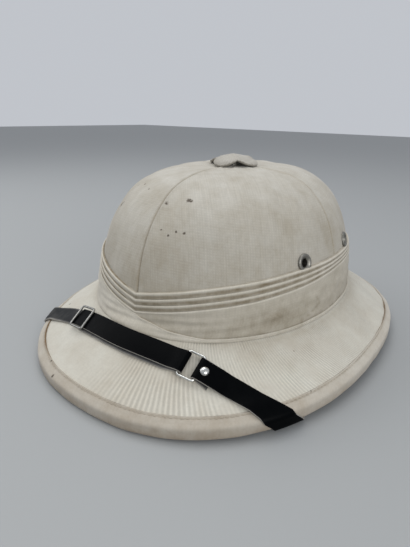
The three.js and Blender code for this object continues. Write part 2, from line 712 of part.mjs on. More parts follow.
// The vent cap: four lobes that come down to the crown over its seams, with arches between
const apex = crownPoint(0, 1)[1]
const lobeShare = turn => ((1 + Math.cos(4 * turn)) / 2) ** capLobeBreadth
const capRings = [0, 0.3, 0.55, 0.78, 1]
function capLoop(turn) {
  const lobe = lobeShare(turn)
  const radius = capRadius - capArchInset * (1 - lobe)
  const edge = seatGap + capThickness + capArchHeight * (1 - lobe)
  const at = (share, down) => place(turn, radius * share,
    apex + tiltAt(turn, radius * share) + mix(edge, capHeight, 1 - share ** capDome) - down)
  return [...capRings.map(share => at(share, 0)),
    ...[...capRings].reverse().map(share => at(share, capThickness))]
}
addPiece('vent_cap', loft(list(2 * roundSides, i => capLoop(i / roundSides * Math.PI)), true),
  canvasShade())

// The plain post under the cap, which fills the vent hole
const lobeEdge = seatGap + capThickness
const postTop = mix(lobeEdge, capHeight, 1 - capRings[1] ** capDome) - capThickness - seatGap
const postUnder = -(clothBack + shellWall + seatGap)
addPiece('vent_post', turned([
  [0, postUnder - postFootThickness], [postFootRadius, postUnder - postFootThickness],
  [postFootRadius, postUnder], [ventRadius - seatGap, postUnder],
  [ventRadius - seatGap, postTop], [0, postTop],
], new THREE.Vector3(0, -crownLead, apex), new THREE.Vector3(0, 0, 1)), nickel())

eyelets.forEach(addEyelet)

// The chin strap with its ring, slider, rivet and anchors
addPiece('strap_long', cut(strapLong(), [anchorHole(-1, shellWall)]), leather())
addPiece('strap_short', cut(strapShort(), [rivetHole(), anchorHole(1, shellWall)]), leather())
addPiece('strap_ring', wireFrame(ringLeft, ringRight, ringLay, 0), nickel())
addPiece('strap_slider', wireFrame(sliderLeft, sliderRight, sliderLay, sliderSkew), nickel())
addRivet()
addAnchor('strap_anchor_left', 1)
addAnchor('strap_anchor_right', -1)

export default helmet
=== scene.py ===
# %% [markdown]
# # Dressing a pith helmet
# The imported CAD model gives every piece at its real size. It is the fixed frame here: each cloth,
# leather and metal piece below is modelled again with a fine surface, lies where its CAD solid
# lies, and then stands for that solid. All lengths are in millimetres until a mesh is made.

# %% Load the frame
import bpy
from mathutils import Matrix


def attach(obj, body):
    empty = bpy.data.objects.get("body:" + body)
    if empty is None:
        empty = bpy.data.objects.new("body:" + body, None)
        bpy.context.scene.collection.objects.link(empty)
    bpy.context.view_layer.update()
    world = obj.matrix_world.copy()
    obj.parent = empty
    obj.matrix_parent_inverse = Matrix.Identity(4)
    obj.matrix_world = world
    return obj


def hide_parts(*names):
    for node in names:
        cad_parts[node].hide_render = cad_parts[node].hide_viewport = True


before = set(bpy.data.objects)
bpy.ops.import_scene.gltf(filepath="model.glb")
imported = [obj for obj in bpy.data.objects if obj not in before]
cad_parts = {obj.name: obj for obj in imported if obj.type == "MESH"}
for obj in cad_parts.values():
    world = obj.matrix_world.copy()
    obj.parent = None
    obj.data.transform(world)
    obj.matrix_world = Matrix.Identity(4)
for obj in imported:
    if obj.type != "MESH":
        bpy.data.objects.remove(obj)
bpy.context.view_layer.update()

from types import SimpleNamespace

import bpy
import numpy as np
from mathutils import Matrix, Vector

print("nodes in the frame:", len(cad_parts))

# %% [markdown]
# The camera comes first, so that each piece can be judged in its real view. Its place and lens
# were solved from the helmet's own ovals: a phone held about 38 cm away, looking down by 21
# degrees at the front left of the helmet.

# %% Camera
MM = 0.001
PHOTO_HEIGHT_PX = 547
FOCAL_PX = 411
SENSOR = 36
camera_data = bpy.data.cameras.new("camera")
camera_data.lens = FOCAL_PX / PHOTO_HEIGHT_PX * SENSOR
camera_data.sensor_width = SENSOR
camera_data.clip_start = 0.01
camera = bpy.data.objects.new("camera", camera_data)
right, up, back = (0.805, 0.593, 0.021), (-0.232, 0.282, 0.931), (0.547, -0.754, 0.364)
turn_matrix = Matrix((right, up, back)).transposed().to_4x4()
camera.matrix_world = Matrix.Translation((0.1800, -0.28484, 0.1701)) @ turn_matrix
bpy.context.scene.collection.objects.link(camera)
bpy.context.scene.camera = camera
print("lens in mm:", round(camera_data.lens, 2))

# %% [markdown]
# The room is pale on all sides, so most of the light is an even sky colour. One wide panel above
# adds the slight fall from the bright top of the crown to its sides, and a smaller one low at
# the right gives the shine where the leather bends over the rim.

# %% Light and floor
def linear(code):
    """An sRGB hex colour as linear red, green, blue and alpha."""
    parts = np.array([int(code[i:i + 2], 16) for i in (1, 3, 5)]) / 255
    low, high = parts / 12.92, ((parts + 0.055) / 1.055) ** 2.4
    return (*np.where(parts <= 0.04045, low, high).tolist(), 1.0)


def add(tree, kind, inputs=None, **settings):
    """Adds a node: inputs holds a value or a socket to link for each input name or number."""
    node = tree.nodes.new(kind)
    for key, value in settings.items():
        setattr(node, key, value)
    for key, value in (inputs or {}).items():
        if isinstance(value, bpy.types.NodeSocket):
            tree.links.new(value, node.inputs[key])
        else:
            node.inputs[key].default_value = value
    return node


scene = bpy.context.scene
scene.view_settings.view_transform = "Standard"
world = bpy.data.worlds.new("pale room")
scene.world = world
world.use_nodes = True
world.node_tree.nodes["Background"].inputs["Color"].default_value = linear("#e2e6ed")
world.node_tree.nodes["Background"].inputs["Strength"].default_value = 0.7
for name, place_m, energy, size in (("panel above", (-0.35, 0.1, 1.3), 9, 1.1),
                                    ("panel low right", (0.9, -0.5, 0.45), 4.3, 0.5),
                                    ("panel left front", (-0.9, -0.4, 0.6), 3.2, 0.8)):
    light_data = bpy.data.lights.new(name, "AREA")
    light_data.energy = energy
    light_data.size = size
    light = bpy.data.objects.new(name, light_data)
    facing = (-Vector(place_m)).to_track_quat("-Z", "Y").to_matrix().to_4x4()
    light.matrix_world = Matrix.Translation(place_m) @ facing
    scene.collection.objects.link(light)
bpy.ops.mesh.primitive_plane_add(size=8)
floor = bpy.context.object
floor.name = "floor"
floor_finish = bpy.data.materials.new("pale honed stone")
floor_finish.use_nodes = True
floor_shader = floor_finish.node_tree.nodes["Principled BSDF"]
floor_shader.inputs["Base Color"].default_value = linear("#989a9a")
floor_shader.inputs["Roughness"].default_value = 0.55
floor.data.materials.append(floor_finish)
print("lights:", len(bpy.data.lights))

# %% [markdown]
# ## The helmet's form
# Every layer follows one outline, cut upright through the crown's axis. A turn is the angle from
# the front toward the wearer's left. The brim and the crown are ovals a little squarer than an
# ellipse, and the crown's wall stands steep before it rounds over. These are the CAD's sizes.

# %% Sizes
GAP = 0.3
CLOTH = 1.2
LEAD = 1.6
RIM = SimpleNamespace(half_width=130.5, half_length=165, squareness=2.28, lift=4.5, rest=12,
                      height=9.6, round=2.5)
CROWN = SimpleNamespace(half_width=93.4, half_length=111.8, squareness=2.18, rise=94.2,
                        tilt=0.016, flatness=2.03, steepness=4.1)
FOOT = SimpleNamespace(height=38, flare_side=2.4, flare_front=6.6, squareness=2.1)
SHELL_WALL = 7
BINDING_TOP, BINDING_UNDER = 6, 7
VENT_RADIUS = 5


def oval(turn, half_width, half_length, squareness):
    across = (np.abs(np.sin(turn)) / half_width) ** squareness
    along = (np.abs(np.cos(turn)) / half_length) ** squareness
    return (across + along) ** (-1 / squareness)


def crown_radius(turn):
    return oval(turn, CROWN.half_width, CROWN.half_length, CROWN.squareness)


def tilt_at(turn, r):
    return CROWN.tilt * (-LEAD - r * np.cos(turn))


def crown_point(turn, share):
    """Radius and height of the crown's wall at a share of its rise."""
    reach = (1 - np.clip(share, 0, 1) ** CROWN.flatness) ** (1 / CROWN.steepness)
    r = crown_radius(turn) * reach
    return r, FOOT.height + CROWN.rise * share + tilt_at(turn, r)


def place(turn, r, z):
    """Points in millimetres from turns, distances from the crown's axis and heights."""
    return np.stack(np.broadcast_arrays(r * np.sin(turn), -LEAD - r * np.cos(turn), z), -1)


def brim_line(turn):
    """The straight top of the brim, from the hem's foot to where the rim starts to round."""
    foot_r = oval(turn, CROWN.half_width + FOOT.flare_side, CROWN.half_length + FOOT.flare_front,
                  FOOT.squareness)
    foot_z = FOOT.height + tilt_at(turn, foot_r)
    rim = oval(turn, RIM.half_width, RIM.half_length, RIM.squareness) - LEAD * np.cos(turn)
    flat = np.sin(np.radians(RIM.rest))
    lift = RIM.lift * np.clip((np.abs(np.sin(turn)) - flat) / (1 - flat), 0, 1) ** 1.5
    mid_r, mid_z = rim - RIM.round, lift + RIM.height - RIM.round
    reach = np.hypot(mid_r - foot_r, mid_z - foot_z)
    slope = np.arctan2(mid_z - foot_z, mid_r - foot_r) + np.arcsin(RIM.round / reach)
    length = np.sqrt(reach ** 2 - RIM.round ** 2)
    way_r, way_z = np.cos(slope), np.sin(slope)
    end_r, end_z = foot_r + way_r * length, foot_z + way_z * length
    under_r = end_r + (SHELL_WALL + 2 * (CLOTH + GAP)) * way_z
    under_z = end_z - (SHELL_WALL + 2 * (CLOTH + GAP)) * way_r
    land_r = under_r + (lift - under_z) / np.tan(slope)
    top_arc = RIM.round * (np.pi / 2 + slope)
    face = top_arc + RIM.height - 2 * RIM.round
    low_arc = face + RIM.round * np.pi / 2
    return SimpleNamespace(foot_r=foot_r, foot_z=foot_z, rim=rim, lift=lift, mid_r=mid_r, mid_z=mid_z,
                           slope=slope, length=length, way_r=way_r, way_z=way_z, end_r=end_r,
                           end_z=end_z, land_r=land_r, top_arc=top_arc, face=face, low_arc=low_arc,
                           land=low_arc + mid_r - land_r)


def rim_point(turn, s, height):
    """A point over the cloth at s along it, square to the rim: 0 is where the rim starts to
    round, less than 0 is up the brim, and more is round the rim and under it."""
    turn, s, height = np.broadcast_arrays(turn, s, height)
    b = brim_line(turn)
    top_angle, low_angle = (b.top_arc - s) / RIM.round, (b.face - s) / RIM.round
    low_z = b.lift + RIM.round
    stages = [s <= 0, s <= b.top_arc, s <= b.face, s <= b.low_arc, s <= b.land]
    r = np.select(stages, [b.end_r + b.way_r * s, b.mid_r + RIM.round * np.cos(top_angle), b.rim,
                           b.mid_r + RIM.round * np.cos(low_angle), b.mid_r - (s - b.low_arc)],
                  b.land_r - b.way_r * (s - b.land))
    z = np.select(stages, [b.end_z + b.way_z * s, b.mid_z + RIM.round * np.sin(top_angle),
                           b.mid_z - (s - b.top_arc), low_z + RIM.round * np.sin(low_angle), b.lift],
                  b.lift - b.way_z * (s - b.land))
    one, none = np.ones_like(r), np.zeros_like(r)
    normal_r = np.select(stages, [-b.way_z, np.cos(top_angle), one, np.cos(low_angle), none], b.way_z)
    normal_z = np.select(stages, [b.way_r, np.sin(top_angle), none, np.sin(low_angle), -one], -b.way_r)
    return place(turn, r + normal_r * height, z + normal_z * height)


front_brim = brim_line(np.array(0.0))
print("width of the front brim in mm:", round(float(front_brim.length), 1))

# %% [markdown]
# ## One way to make every layer
# Cloth and leather are closed bodies: a loop of points at each station, skinned from one to the
# next. Each corner also keeps its place in the cloth in millimetres, across and along, and how
# much soiling and painted shade it takes, so that weave, soiling and painted shade follow the
# cloth and need no picture.

# %% Skin a body over its loops
SHARP_EDGE_DEG = 48


def skin(name, points, cloth, closed, finishes, finish_of=None):
    """Skins points (stations, loop, 3) in millimetres. cloth holds across, along, and soiling with
    painted shade for each point. A closed body repeats its first station at the end."""
    spans, size = points.shape[0] - 1, points.shape[1]
    count = spans if closed else spans + 1
    i, j = (grid.ravel() for grid in np.meshgrid(np.arange(spans), np.arange(size), indexing="ij"))
    corners = [(i, j), (i, (j + 1) % size), (i + 1, (j + 1) % size), (i + 1, j)]
    if not closed:
        k = np.arange(size // 2 - 1)
        low, high = np.zeros_like(k), np.full_like(k, spans)
        caps = [[(low, k), (low, size - 1 - k), (low, size - 2 - k), (low, k + 1)],
                [(high, k), (high, k + 1), (high, size - 2 - k), (high, size - 1 - k)]]
        corners = [tuple(np.concatenate(parts) for parts in zip(*group))
                   for group in zip(corners, *caps)]
    faces = np.stack([(a % count) * size + b for a, b in corners], -1)
    values = np.stack([cloth[a, b] for a, b in corners], 1)
    body = points[:count].reshape(-1, 3)
    a, b, c, d = (body[faces[:, n]] for n in range(4))
    volume = np.einsum("ij,ij->", a, np.cross(b, c)) + np.einsum("ij,ij->", a, np.cross(c, d))
    if volume < 0:
        faces, values = faces[:, ::-1], values[:, ::-1]
    mesh = bpy.data.meshes.new(name)
    mesh.from_pydata((body * MM).tolist(), [], faces.tolist())
    mesh.attributes.new("cloth", "FLOAT_VECTOR", "CORNER").data.foreach_set(
        "vector", values.astype(np.float32).ravel())
    for finish in finishes:
        mesh.materials.append(finish)
    if finish_of is not None:
        mesh.polygons.foreach_set("material_index", finish_of[corners[0][1]].astype(np.int32))
    mesh.polygons.foreach_set("use_smooth", np.ones(len(faces), bool))
    mesh.set_sharp_from_angle(angle=np.radians(SHARP_EDGE_DEG))
    piece = bpy.data.objects.new(name, mesh)
    bpy.context.scene.collection.objects.link(piece)
    return piece


def dress(piece, slot, *nodes):
    """Rides a piece on the helmet in place of its CAD solids, and says what it measures."""
    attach(piece, "root")
    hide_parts(*nodes)
    print(piece.name, "faces:", len(piece.data.polygons))
    return piece


def cut_from(piece, width_mm, length_mm, held, *under):
    """Says that a piece is cloth and the size that it was cut to. What it lies on is passed but not used."""
    print(piece.name, "cut from", round(float(width_mm)), "by", round(float(length_mm)), "mm")


def lifted(r, z, height):
    """Moves outlines (stations, points) square to themselves in their upright planes."""
    step_r, step_z = np.gradient(r, axis=1), np.gradient(z, axis=1)
    length = np.hypot(step_r, step_z)
    return r - step_z / length * height, z + step_r / length * height


def along_outline(r, z):
    steps = np.hypot(np.diff(r, axis=1), np.diff(z, axis=1))
    return np.concatenate([np.zeros((len(r), 1)), np.cumsum(steps, axis=1)], axis=1)


def ripple(x, y, size, seed):
    """Smooth random relief between about -1 and 1, with swells of about the given size."""
    draw = np.random.default_rng(seed)
    waves = 14
    way, phase = draw.uniform(0, 2 * np.pi, (2, waves))
    pitch = 2 * np.pi / (size * draw.uniform(0.7, 1.6, waves))
    total = sum(np.sin(k * (x * np.cos(w) + y * np.sin(w)) + p) for k, w, p in zip(pitch, way, phase))
    return total / np.sqrt(waves)


def cloth_body(name, turn, r, z, height, soil_and_shade, closed, finish, middle=0.0, even_radius=None):
    """A cloth layer on outlines (stations, points), with relief, soiling and painted shade on its
    outer face. With an even radius, what is drawn along the turn fans out to the rim."""
    outer, inner = lifted(r, z, height), lifted(r, z, -CLOTH)
    points = np.concatenate([place(turn[:, None], *outer), place(turn[:, None], *inner)[:, ::-1]], 1)
    depth = along_outline(r, z)
    way = (turn[:, None] - middle) * r
    if even_radius:
        way = even_radius * (turn[:, None] - RIB_FAN * depth * np.sin(turn[:, None] - RIB_MIDDLE))
    coat = np.stack(np.broadcast_arrays(way, depth, soil_and_shade), -1)
    lining = coat * [1, 1, 0]
    cloth = np.concatenate([coat, lining[:, ::-1]], 1)
    return skin(name, points, cloth, closed, [finish])


# %% [markdown]
# ## The cloth
# The cover is cotton drill, woven off-white and gone grey-beige with age. Real threads are about
# 0.5 mm apart, too fine for the picture, so the weave is drawn at 1.7 mm, and uneven threads show as
# fine streaks both ways. Handling leaves broad brownish clouds, and dust settles in folds and
# along seams. The same dark colour also paints the shade in folds, crevices and under edges.
# Cotton is rough, with a faint sheen from its loose fibres. On the stretched brim the ribs of the
# drill stand out, and nicks in the cloth show the dark backing.

# %% Woven cotton
TAU = 2 * np.pi
MATH, MAP, NOISE = "ShaderNodeMath", "ShaderNodeMapRange", "ShaderNodeTexNoise"
THREAD_MM = 1.7
WAVE_RADIANS = 20
CLOUDS = {"broad": (34, 0.36, 0.66), "streak": (9, 0.40, 0.72), "dirt_and_shade": (7, 0.2, 0.75), "slub": (1.6, 0, 1),
          "sway": (26, 0.35, 0.6)}
THREADS = {"warp": ((0.7, 1 / 16, 0), 0.10), "weft": ((1 / 16, 0.7, 0), 0.035)}


def woven_cotton(name, clean, aged, dirt_shade_colour, weave=1.0, rib_mm=None, smooth=(0, 0), nicks=()):
    """Aged cotton whose weave shows more or less. It can have ribs, apart from a smooth stretch, and
    nicks at places in metres."""
    finish = bpy.data.materials.new(name)
    finish.use_nodes = True
    tree = finish.node_tree
    shader = tree.nodes["Principled BSDF"]
    for socket, amount in (("Roughness", 0.93), ("Specular IOR Level", 0.2), ("Sheen Weight", 0.12),
                           ("Sheen Roughness", 0.5)):
        shader.inputs[socket].default_value = amount
    in_cloth = add(tree, "ShaderNodeAttribute", attribute_name="cloth").outputs["Vector"]
    across, _along, soil_and_shade = add(tree, "ShaderNodeSeparateXYZ", {"Vector": in_cloth}).outputs
    spot = add(tree, "ShaderNodeTexCoord").outputs["Object"]
    clouds = {}
    for title, (size_mm, low, high) in CLOUDS.items():
        noise = add(tree, NOISE, {"Vector": spot, "Scale": 1 / (size_mm * MM), "Detail": 4.0, "Roughness": 0.6})
        clouds[title] = add(tree, MAP, {0: noise.outputs["Fac"], 1: low, 2: high}).outputs[0]
    patterns = [(clouds["slub"], 0.10, 0.3)]
    for pitch, contrast in THREADS.values():
        stretched = add(tree, "ShaderNodeMapping", {"Vector": in_cloth, "Scale": pitch}).outputs[0]
        streaks = add(tree, NOISE, {"Vector": stretched, "Scale": 1.0, "Detail": 2.0}).outputs["Fac"]
        patterns.append((streaks, contrast * weave, 0.4 * weave))
    waves = [add(tree, "ShaderNodeTexWave", {"Vector": in_cloth, "Scale": TAU / WAVE_RADIANS / THREAD_MM,
                                             "Distortion": 1.5, "Detail Scale": 0.4}, bands_direction=way)
             for way in "XY"]
    check = add(tree, MATH, {0: waves[0].outputs["Fac"], 1: waves[1].outputs["Fac"]}, operation="MULTIPLY")
    patterns.append((check.outputs[0], 0.04 * weave, 0.1 * weave))
    if rib_mm:
        rib = add(tree, "ShaderNodeTexWave", {"Vector": in_cloth, "Scale": TAU / WAVE_RADIANS / rib_mm,
                                              "Distortion": 2.0, "Detail Scale": 0.15}, bands_direction="X")
        reach = clouds["sway"]
        for start, end in ((smooth[0], smooth[0] - 25), (smooth[1], smooth[1] + 25)):
            beyond = add(tree, MAP, {0: across, 1: start, 2: end}).outputs[0]
            patterns_side = beyond if start == smooth[0] else add(
                tree, MATH, {0: patterns_side, 1: beyond}, operation="MAXIMUM").outputs[0]
        reach = add(tree, MATH, {0: reach, 1: patterns_side}, operation="MULTIPLY").outputs[0]
        level = add(tree, MATH, {0: rib.outputs["Fac"], 1: -0.5}, operation="ADD").outputs[0]
        shown = add(tree, MATH, {0: level, 1: reach, 2: 0.5}, operation="MULTIPLY_ADD").outputs[0]
        patterns.append((shown, 0.14, 1.4))
    shade, height = 1.0, 0.0
    for pattern, contrast, raised in patterns:
        part = add(tree, MAP, {0: pattern, 3: 1 - contrast, 4: 1 + contrast}).outputs[0]
        shade = add(tree, MATH, {0: part, 1: shade}, operation="MULTIPLY").outputs[0]
        height = add(tree, MATH, {0: pattern, 1: raised, 2: height}, operation="MULTIPLY_ADD").outputs[0]
    age = add(tree, MATH, {0: clouds["streak"], 1: 0.3}, operation="MULTIPLY").outputs[0]
    age = add(tree, MATH, {0: clouds["broad"], 1: 0.55, 2: age}, operation="MULTIPLY_ADD").outputs[0]
    # The mesh's soiling attribute lays on the darkest colour. It holds real soiling and painted shade.
    dirt_and_shade = add(tree, MATH, {0: clouds["dirt_and_shade"], 1: 0.5, 2: 0.35}, operation="MULTIPLY_ADD").outputs[0]
    dirt_and_shade = add(tree, MATH, {0: soil_and_shade, 1: dirt_and_shade}, operation="MULTIPLY").outputs[0]
    colour = linear(clean)
    for share, other, blend in ((age, linear(aged), "MIX"), (dirt_and_shade, linear(dirt_shade_colour), "MIX"), (1.0, shade, "MULTIPLY")):
        colour = add(tree, "ShaderNodeMix", {0: share, 6: colour, 7: other}, data_type="RGBA",
                     blend_type=blend).outputs[2]
    frayed = add(tree, NOISE, {"Vector": spot, "Scale": 1 / (1.6 * MM), "Detail": 3.0}).outputs["Fac"] if nicks else None
    for centre, radius in nicks:
        away = add(tree, "ShaderNodeVectorMath", {0: spot, 1: centre}, operation="DISTANCE").outputs["Value"]
        away = add(tree, MATH, {0: frayed, 1: 2 * radius * MM, 2: away}, operation="MULTIPLY_ADD").outputs[0]
        torn = add(tree, MAP, {0: away, 1: 2.0 * radius * MM, 2: 1.4 * radius * MM}).outputs[0]
        colour = add(tree, "ShaderNodeMix", {0: torn, 6: colour, 7: linear("#5b5349")}, data_type="RGBA").outputs[2]
        height = add(tree, MATH, {0: torn, 1: -1.2, 2: height}, operation="MULTIPLY_ADD").outputs[0]
    tree.links.new(colour, shader.inputs["Base Color"])
    bump = add(tree, "ShaderNodeBump", {"Height": height, "Distance": 0.25 * MM, "Strength": 0.8})
    tree.links.new(bump.outputs["Normal"], shader.inputs["Normal"])
    return finish


print("threads to the centimetre as drawn:", round(10 / THREAD_MM, 1))

# %% [markdown]
# ## The crown
# Four gores are cut like orange segments and sewn together, so a seam runs down the front, the
# back and each side. A sewn seam is a small groove with the turned-in cloth raising a soft ridge
# on each side of it. A grid closer at the seams holds both.

# %% Crown gores
def wall_foot(turn):
    """The share of the rise where the wall meets its fillet, and the corner under the fillet."""
    b = brim_line(turn)
    share = np.zeros_like(turn)
    for _ in range(4):
        r, _height = crown_point(turn, share)
        level = b.foot_z + (r - b.foot_r) * np.tan(b.slope)
        share = (level - FOOT.height - tilt_at(turn, r)) / CROWN.rise
    corner_r, corner_z = crown_point(turn, share)
    leg = 0.8 * np.hypot(b.foot_r - corner_r, b.foot_z - corner_z)
    return share + leg / CROWN.rise, corner_r, corner_z, leg, b


def crown_outline(turn, rows):
    """The wall from the vent hole to its fillet, (stations, rows)."""
    share = wall_foot(turn)[0]
    first = np.arcsin((VENT_RADIUS / crown_radius(turn)) ** (CROWN.steepness / 2))
    last = np.arccos(share ** (CROWN.flatness / 2))
    angle = first[:, None] + (last - first)[:, None] * np.linspace(0, 1, rows) ** 1.5
    return crown_point(turn[:, None], np.cos(angle) ** (2 / CROWN.flatness))


def crown_spot(turn_degrees, share):
    """A place on the crown's wall in metres."""
    turn = np.array(np.radians(turn_degrees))
    return tuple((place(turn, *crown_point(turn, share)) * MM).tolist())


def brim_spot(turn_degrees, r, z):
    """A place in metres near the brim, from its turn, distance from the axis and height."""
    return tuple((place(np.array(np.radians(turn_degrees)), r, z) * MM).tolist())


SEAM_RIDGE, SEAM_REACH = 0.34, 1.9
CROWN_NICKS = ((12.6, 0.862, 1.8), (14.0, 0.858, 1.2), (2.6, 0.832, 1.3), (-31.5, 0.736, 2.2),
               (-29.5, 0.755, 1.1), (-25.4, 0.895, 0.9), (-15.8, 0.882, 0.9), (-32.0, 0.874, 0.9),
               (12.0, 0.682, 0.9), (15.2, 0.681, 1.1),
               (9.2, 0.653, 0.9), (5.6, 0.68, 0.8))
drill = woven_cotton("aged off-white cotton drill", "#b6b2a8", "#9d9585", "#857558",
                     nicks=[(crown_spot(turn, share), radius) for turn, share, radius in CROWN_NICKS])
gores = []
GORES = ("front_left", "back_left", "back_right", "front_right")
for quarter, name in enumerate(GORES):
    run = np.linspace(0, 1, 141)
    turn = (quarter + run - 0.12 * np.sin(TAU * run)) * np.pi / 2
    r, z = crown_outline(turn, 72)
    away = r * np.minimum(turn - turn[0], turn[-1] - turn)[:, None]
    height = (SEAM_RIDGE * np.exp(-((away - SEAM_REACH) / 1.1) ** 2) - 0.6 * np.exp(-(away / 0.7) ** 2)
              + 0.22 * ripple(turn[:, None] * 100, along_outline(r, z), 34, 3))
    # Dust in the seams, and the crown drawn darker towards its foot.
    soil_and_shade = 0.5 * np.exp(-(away / 0.8) ** 2) + 0.3 * np.clip((126 - z) / 60, 0, 1)
    middle = (quarter + 0.5) * np.pi / 2
    gore = cloth_body(f"gore_{name}", turn, r, z, height, soil_and_shade, False, drill, middle)
    gores.append(dress(gore, "canvas", f"crown_gore_{name}"))
    cut_from(gore, (r * (turn[-1] - turn[0])).max(), along_outline(r, z).max(), "stretched", f"pith_crown_{name}")

# %% [markdown]
# ## The brim
# One piece of drill is stretched from the crown over the brim, where its threads show as fine
# ribs that fan out to the rim. It is a single closed sheet with a soft fillet at the crown.

# %% Brim cover
STATIONS = 480
RIB_COUNT, RIB_RADIUS, RIB_FAN, RIB_MIDDLE = 440, 140, 0.0058, 0.2
RIB_MM = TAU * RIB_RADIUS / RIB_COUNT
BRIM_STAINS = ((42.5, 117.1, 31.2, 7, 0.35), (51.2, 122.4, 25.6, 6, 0.3), (12, 140, 20, 34, 0.32))
around = np.linspace(-np.pi, np.pi, STATIONS + 1)
share, corner_r, corner_z, leg, b = wall_foot(around)
wall_r, wall_z = crown_point(around, share)
fillet_r, fillet_z = corner_r + b.way_r * leg, corner_z + b.way_z * leg
bend = np.linspace(0, 1, 9)[None, :-1]
run = np.linspace(0, 1, 30)[None, :]
stitch_r, stitch_z = b.end_r - b.way_r * BINDING_TOP, b.end_z - b.way_z * BINDING_TOP
parts = []
for wall, corner, fillet, stitch in ((wall_r, corner_r, fillet_r, stitch_r),
                                     (wall_z, corner_z, fillet_z, stitch_z)):
    wall, corner, fillet, stitch = (value[:, None] for value in (wall, corner, fillet, stitch))
    curve = (1 - bend) ** 2 * wall + 2 * bend * (1 - bend) * corner + bend ** 2 * fillet
    parts.append(np.concatenate([curve, fillet + (stitch - fillet) * run], 1))
r, z = parts
depth = along_outline(r, z)
height = 0.25 * ripple(r * np.sin(around)[:, None], r * np.cos(around)[:, None], 30, 7)
height *= np.clip(depth / 12, 0, 1)
# Painted shade in the corner where the brim meets the crown under the puggaree, and a thin painted shadow under the
# binding's edge. The stains added below are real.
soil_and_shade = 0.5 * np.exp(-np.abs(depth - 8) / 5) + 0.08 * np.exp(-(depth[:, -1:] - depth) / 2)
grid = place(around[:, None], r, z) * MM
for stain in BRIM_STAINS:
    distance = np.linalg.norm(grid - brim_spot(*stain[:3]), axis=-1) / MM
    soil_and_shade = soil_and_shade + stain[4] * np.exp(-(distance / stain[3]) ** 2)
ribbed_drill = woven_cotton("drill stretched over the brim", "#c3c0b5", "#b3ac9e", "#94866f", 0.3, RIB_MM,
                            smooth=(-RIB_RADIUS * 1.0, RIB_RADIUS * 0.02),
                            nicks=[(brim_spot(-41.4, 134.5, 20.9), 1.2), (brim_spot(55.0, 114.6, 29.7), 0.6)])
brim = cloth_body("brim_cloth", around, r, z, height, soil_and_shade, True, ribbed_drill, even_radius=RIB_RADIUS)
dress(brim, "canvas", "brim_cover")
reach = depth[:, -1].max() * 2
cut_from(brim, 2 * wall_r[STATIONS // 4] + reach, 2 * wall_r[0] + reach, "stretched",
         *(f"pith_brim_{name}" for name in GORES))

# %% [markdown]
# ## The binding
# A strip of the same cotton is folded over the rim and sewn through all layers. Its folded edge
# stands a little proud of the brim and has lifted at two places, with a brown painted shadow in the
# gap. The stitches pull small puckers into it. They are laid as short bent threads, one body for all.

# %% Edge binding and its stitches
FOLD_PROUD = 0.45
STITCH_LINE, STITCH_PITCH, THREAD_RADIUS = 1.5, 3.2, 0.22
run = np.concatenate([np.linspace(0, 1.2, 6), np.linspace(1.6, BINDING_TOP, 9)])
run = run[None, :] - BINDING_TOP
round_run = np.linspace(0, 1, 12)[None, 1:]
b = brim_line(around)
total = (b.land + BINDING_UNDER)[:, None]
s_line = np.concatenate([np.broadcast_to(run, (STATIONS + 1, run.shape[1])),
                         b.top_arc[:, None] * np.linspace(0, 1, 8)[None, 1:],
                         b.top_arc[:, None] + (b.low_arc - b.top_arc)[:, None] * round_run,
                         b.low_arc[:, None] + (total - b.low_arc[:, None]) * round_run], 1)
turn_degrees = np.degrees(around)[:, None]
gape = (1.0 * np.exp(-((turn_degrees + 29) / 12) ** 2) + 0.9 * np.exp(-((turn_degrees - 117) / 15) ** 2))
inward = s_line + BINDING_TOP
edge_roll = np.clip(inward / 0.5, 0, 1) ** 0.5
pucker = np.sin(around[:, None] * 115 * TAU / (2 * STITCH_PITCH))
height = FOLD_PROUD * edge_roll * np.exp(-np.clip(inward, 0, None) / 6)
height = height + gape * np.exp(-inward / 2.2) - 0.28 * np.exp(-((inward - STITCH_LINE) / 0.5) ** 2)
height = height + 0.06 * pucker * np.exp(-((inward - STITCH_LINE) / 1.6) ** 2)
height = height + 0.12 * ripple(around[:, None] * 130, s_line, 22, 11)
height = np.where(s_line > b.low_arc[:, None], np.minimum(height, 0), height)
handled = 0.06 + 0.38 * np.exp(-((turn_degrees - 10) / 50) ** 2)
# Painted shadow: a dark line along the binding's inner edge, widest and darkest under the two lifted places. Painted
# shade in the stitch groove and over the rim's face and underside. The handled front carries real handling marks.
soil_and_shade = ((0.2 + 1.6 * gape) * np.exp(-inward / (0.4 + 0.5 * gape)) + handled
        + 0.15 * np.exp(-((inward - STITCH_LINE) / 0.6) ** 2) + 0.5 * np.clip((s_line - 1.5) / b.face[:, None], 0, 1))

outer = rim_point(around[:, None], s_line, height)
outer[..., 2] = np.maximum(outer[..., 2], 0.02)
inner = rim_point(around[:, None], s_line, -CLOTH)
coat = np.stack(np.broadcast_arrays(around[:, None] * 130, s_line, np.clip(soil_and_shade, 0, 2)), -1)
points = np.concatenate([outer, inner[:, ::-1]], 1)
cloth = np.concatenate([coat, coat[:, ::-1] * [1, 1, 0]], 1)
# The darkest colour serves both the handling marks and the painted shadow under the lifted edge.
bias_strip = woven_cotton("cotton binding, handled and grimy, with painted shadow", "#bdb8ad", "#aaa192", "#6e583c", 0.4,
                          nicks=[(brim_spot(-10.4, 162.4, 9.4), 1.2), (brim_spot(-15.1, 158.1, 12.2), 1.0),
                                 (brim_spot(55.0, 137.4, 15.5), 0.7)])
binding = skin("binding", points, cloth, True, [bias_strip])
dress(binding, "binding", "edge_binding")
rim_length = np.linalg.norm(np.diff(rim_point(around, 0, 0), axis=0), axis=1).sum()
cut_from(binding, (BINDING_TOP + total).max(), rim_length, "folded", "brim_cloth")


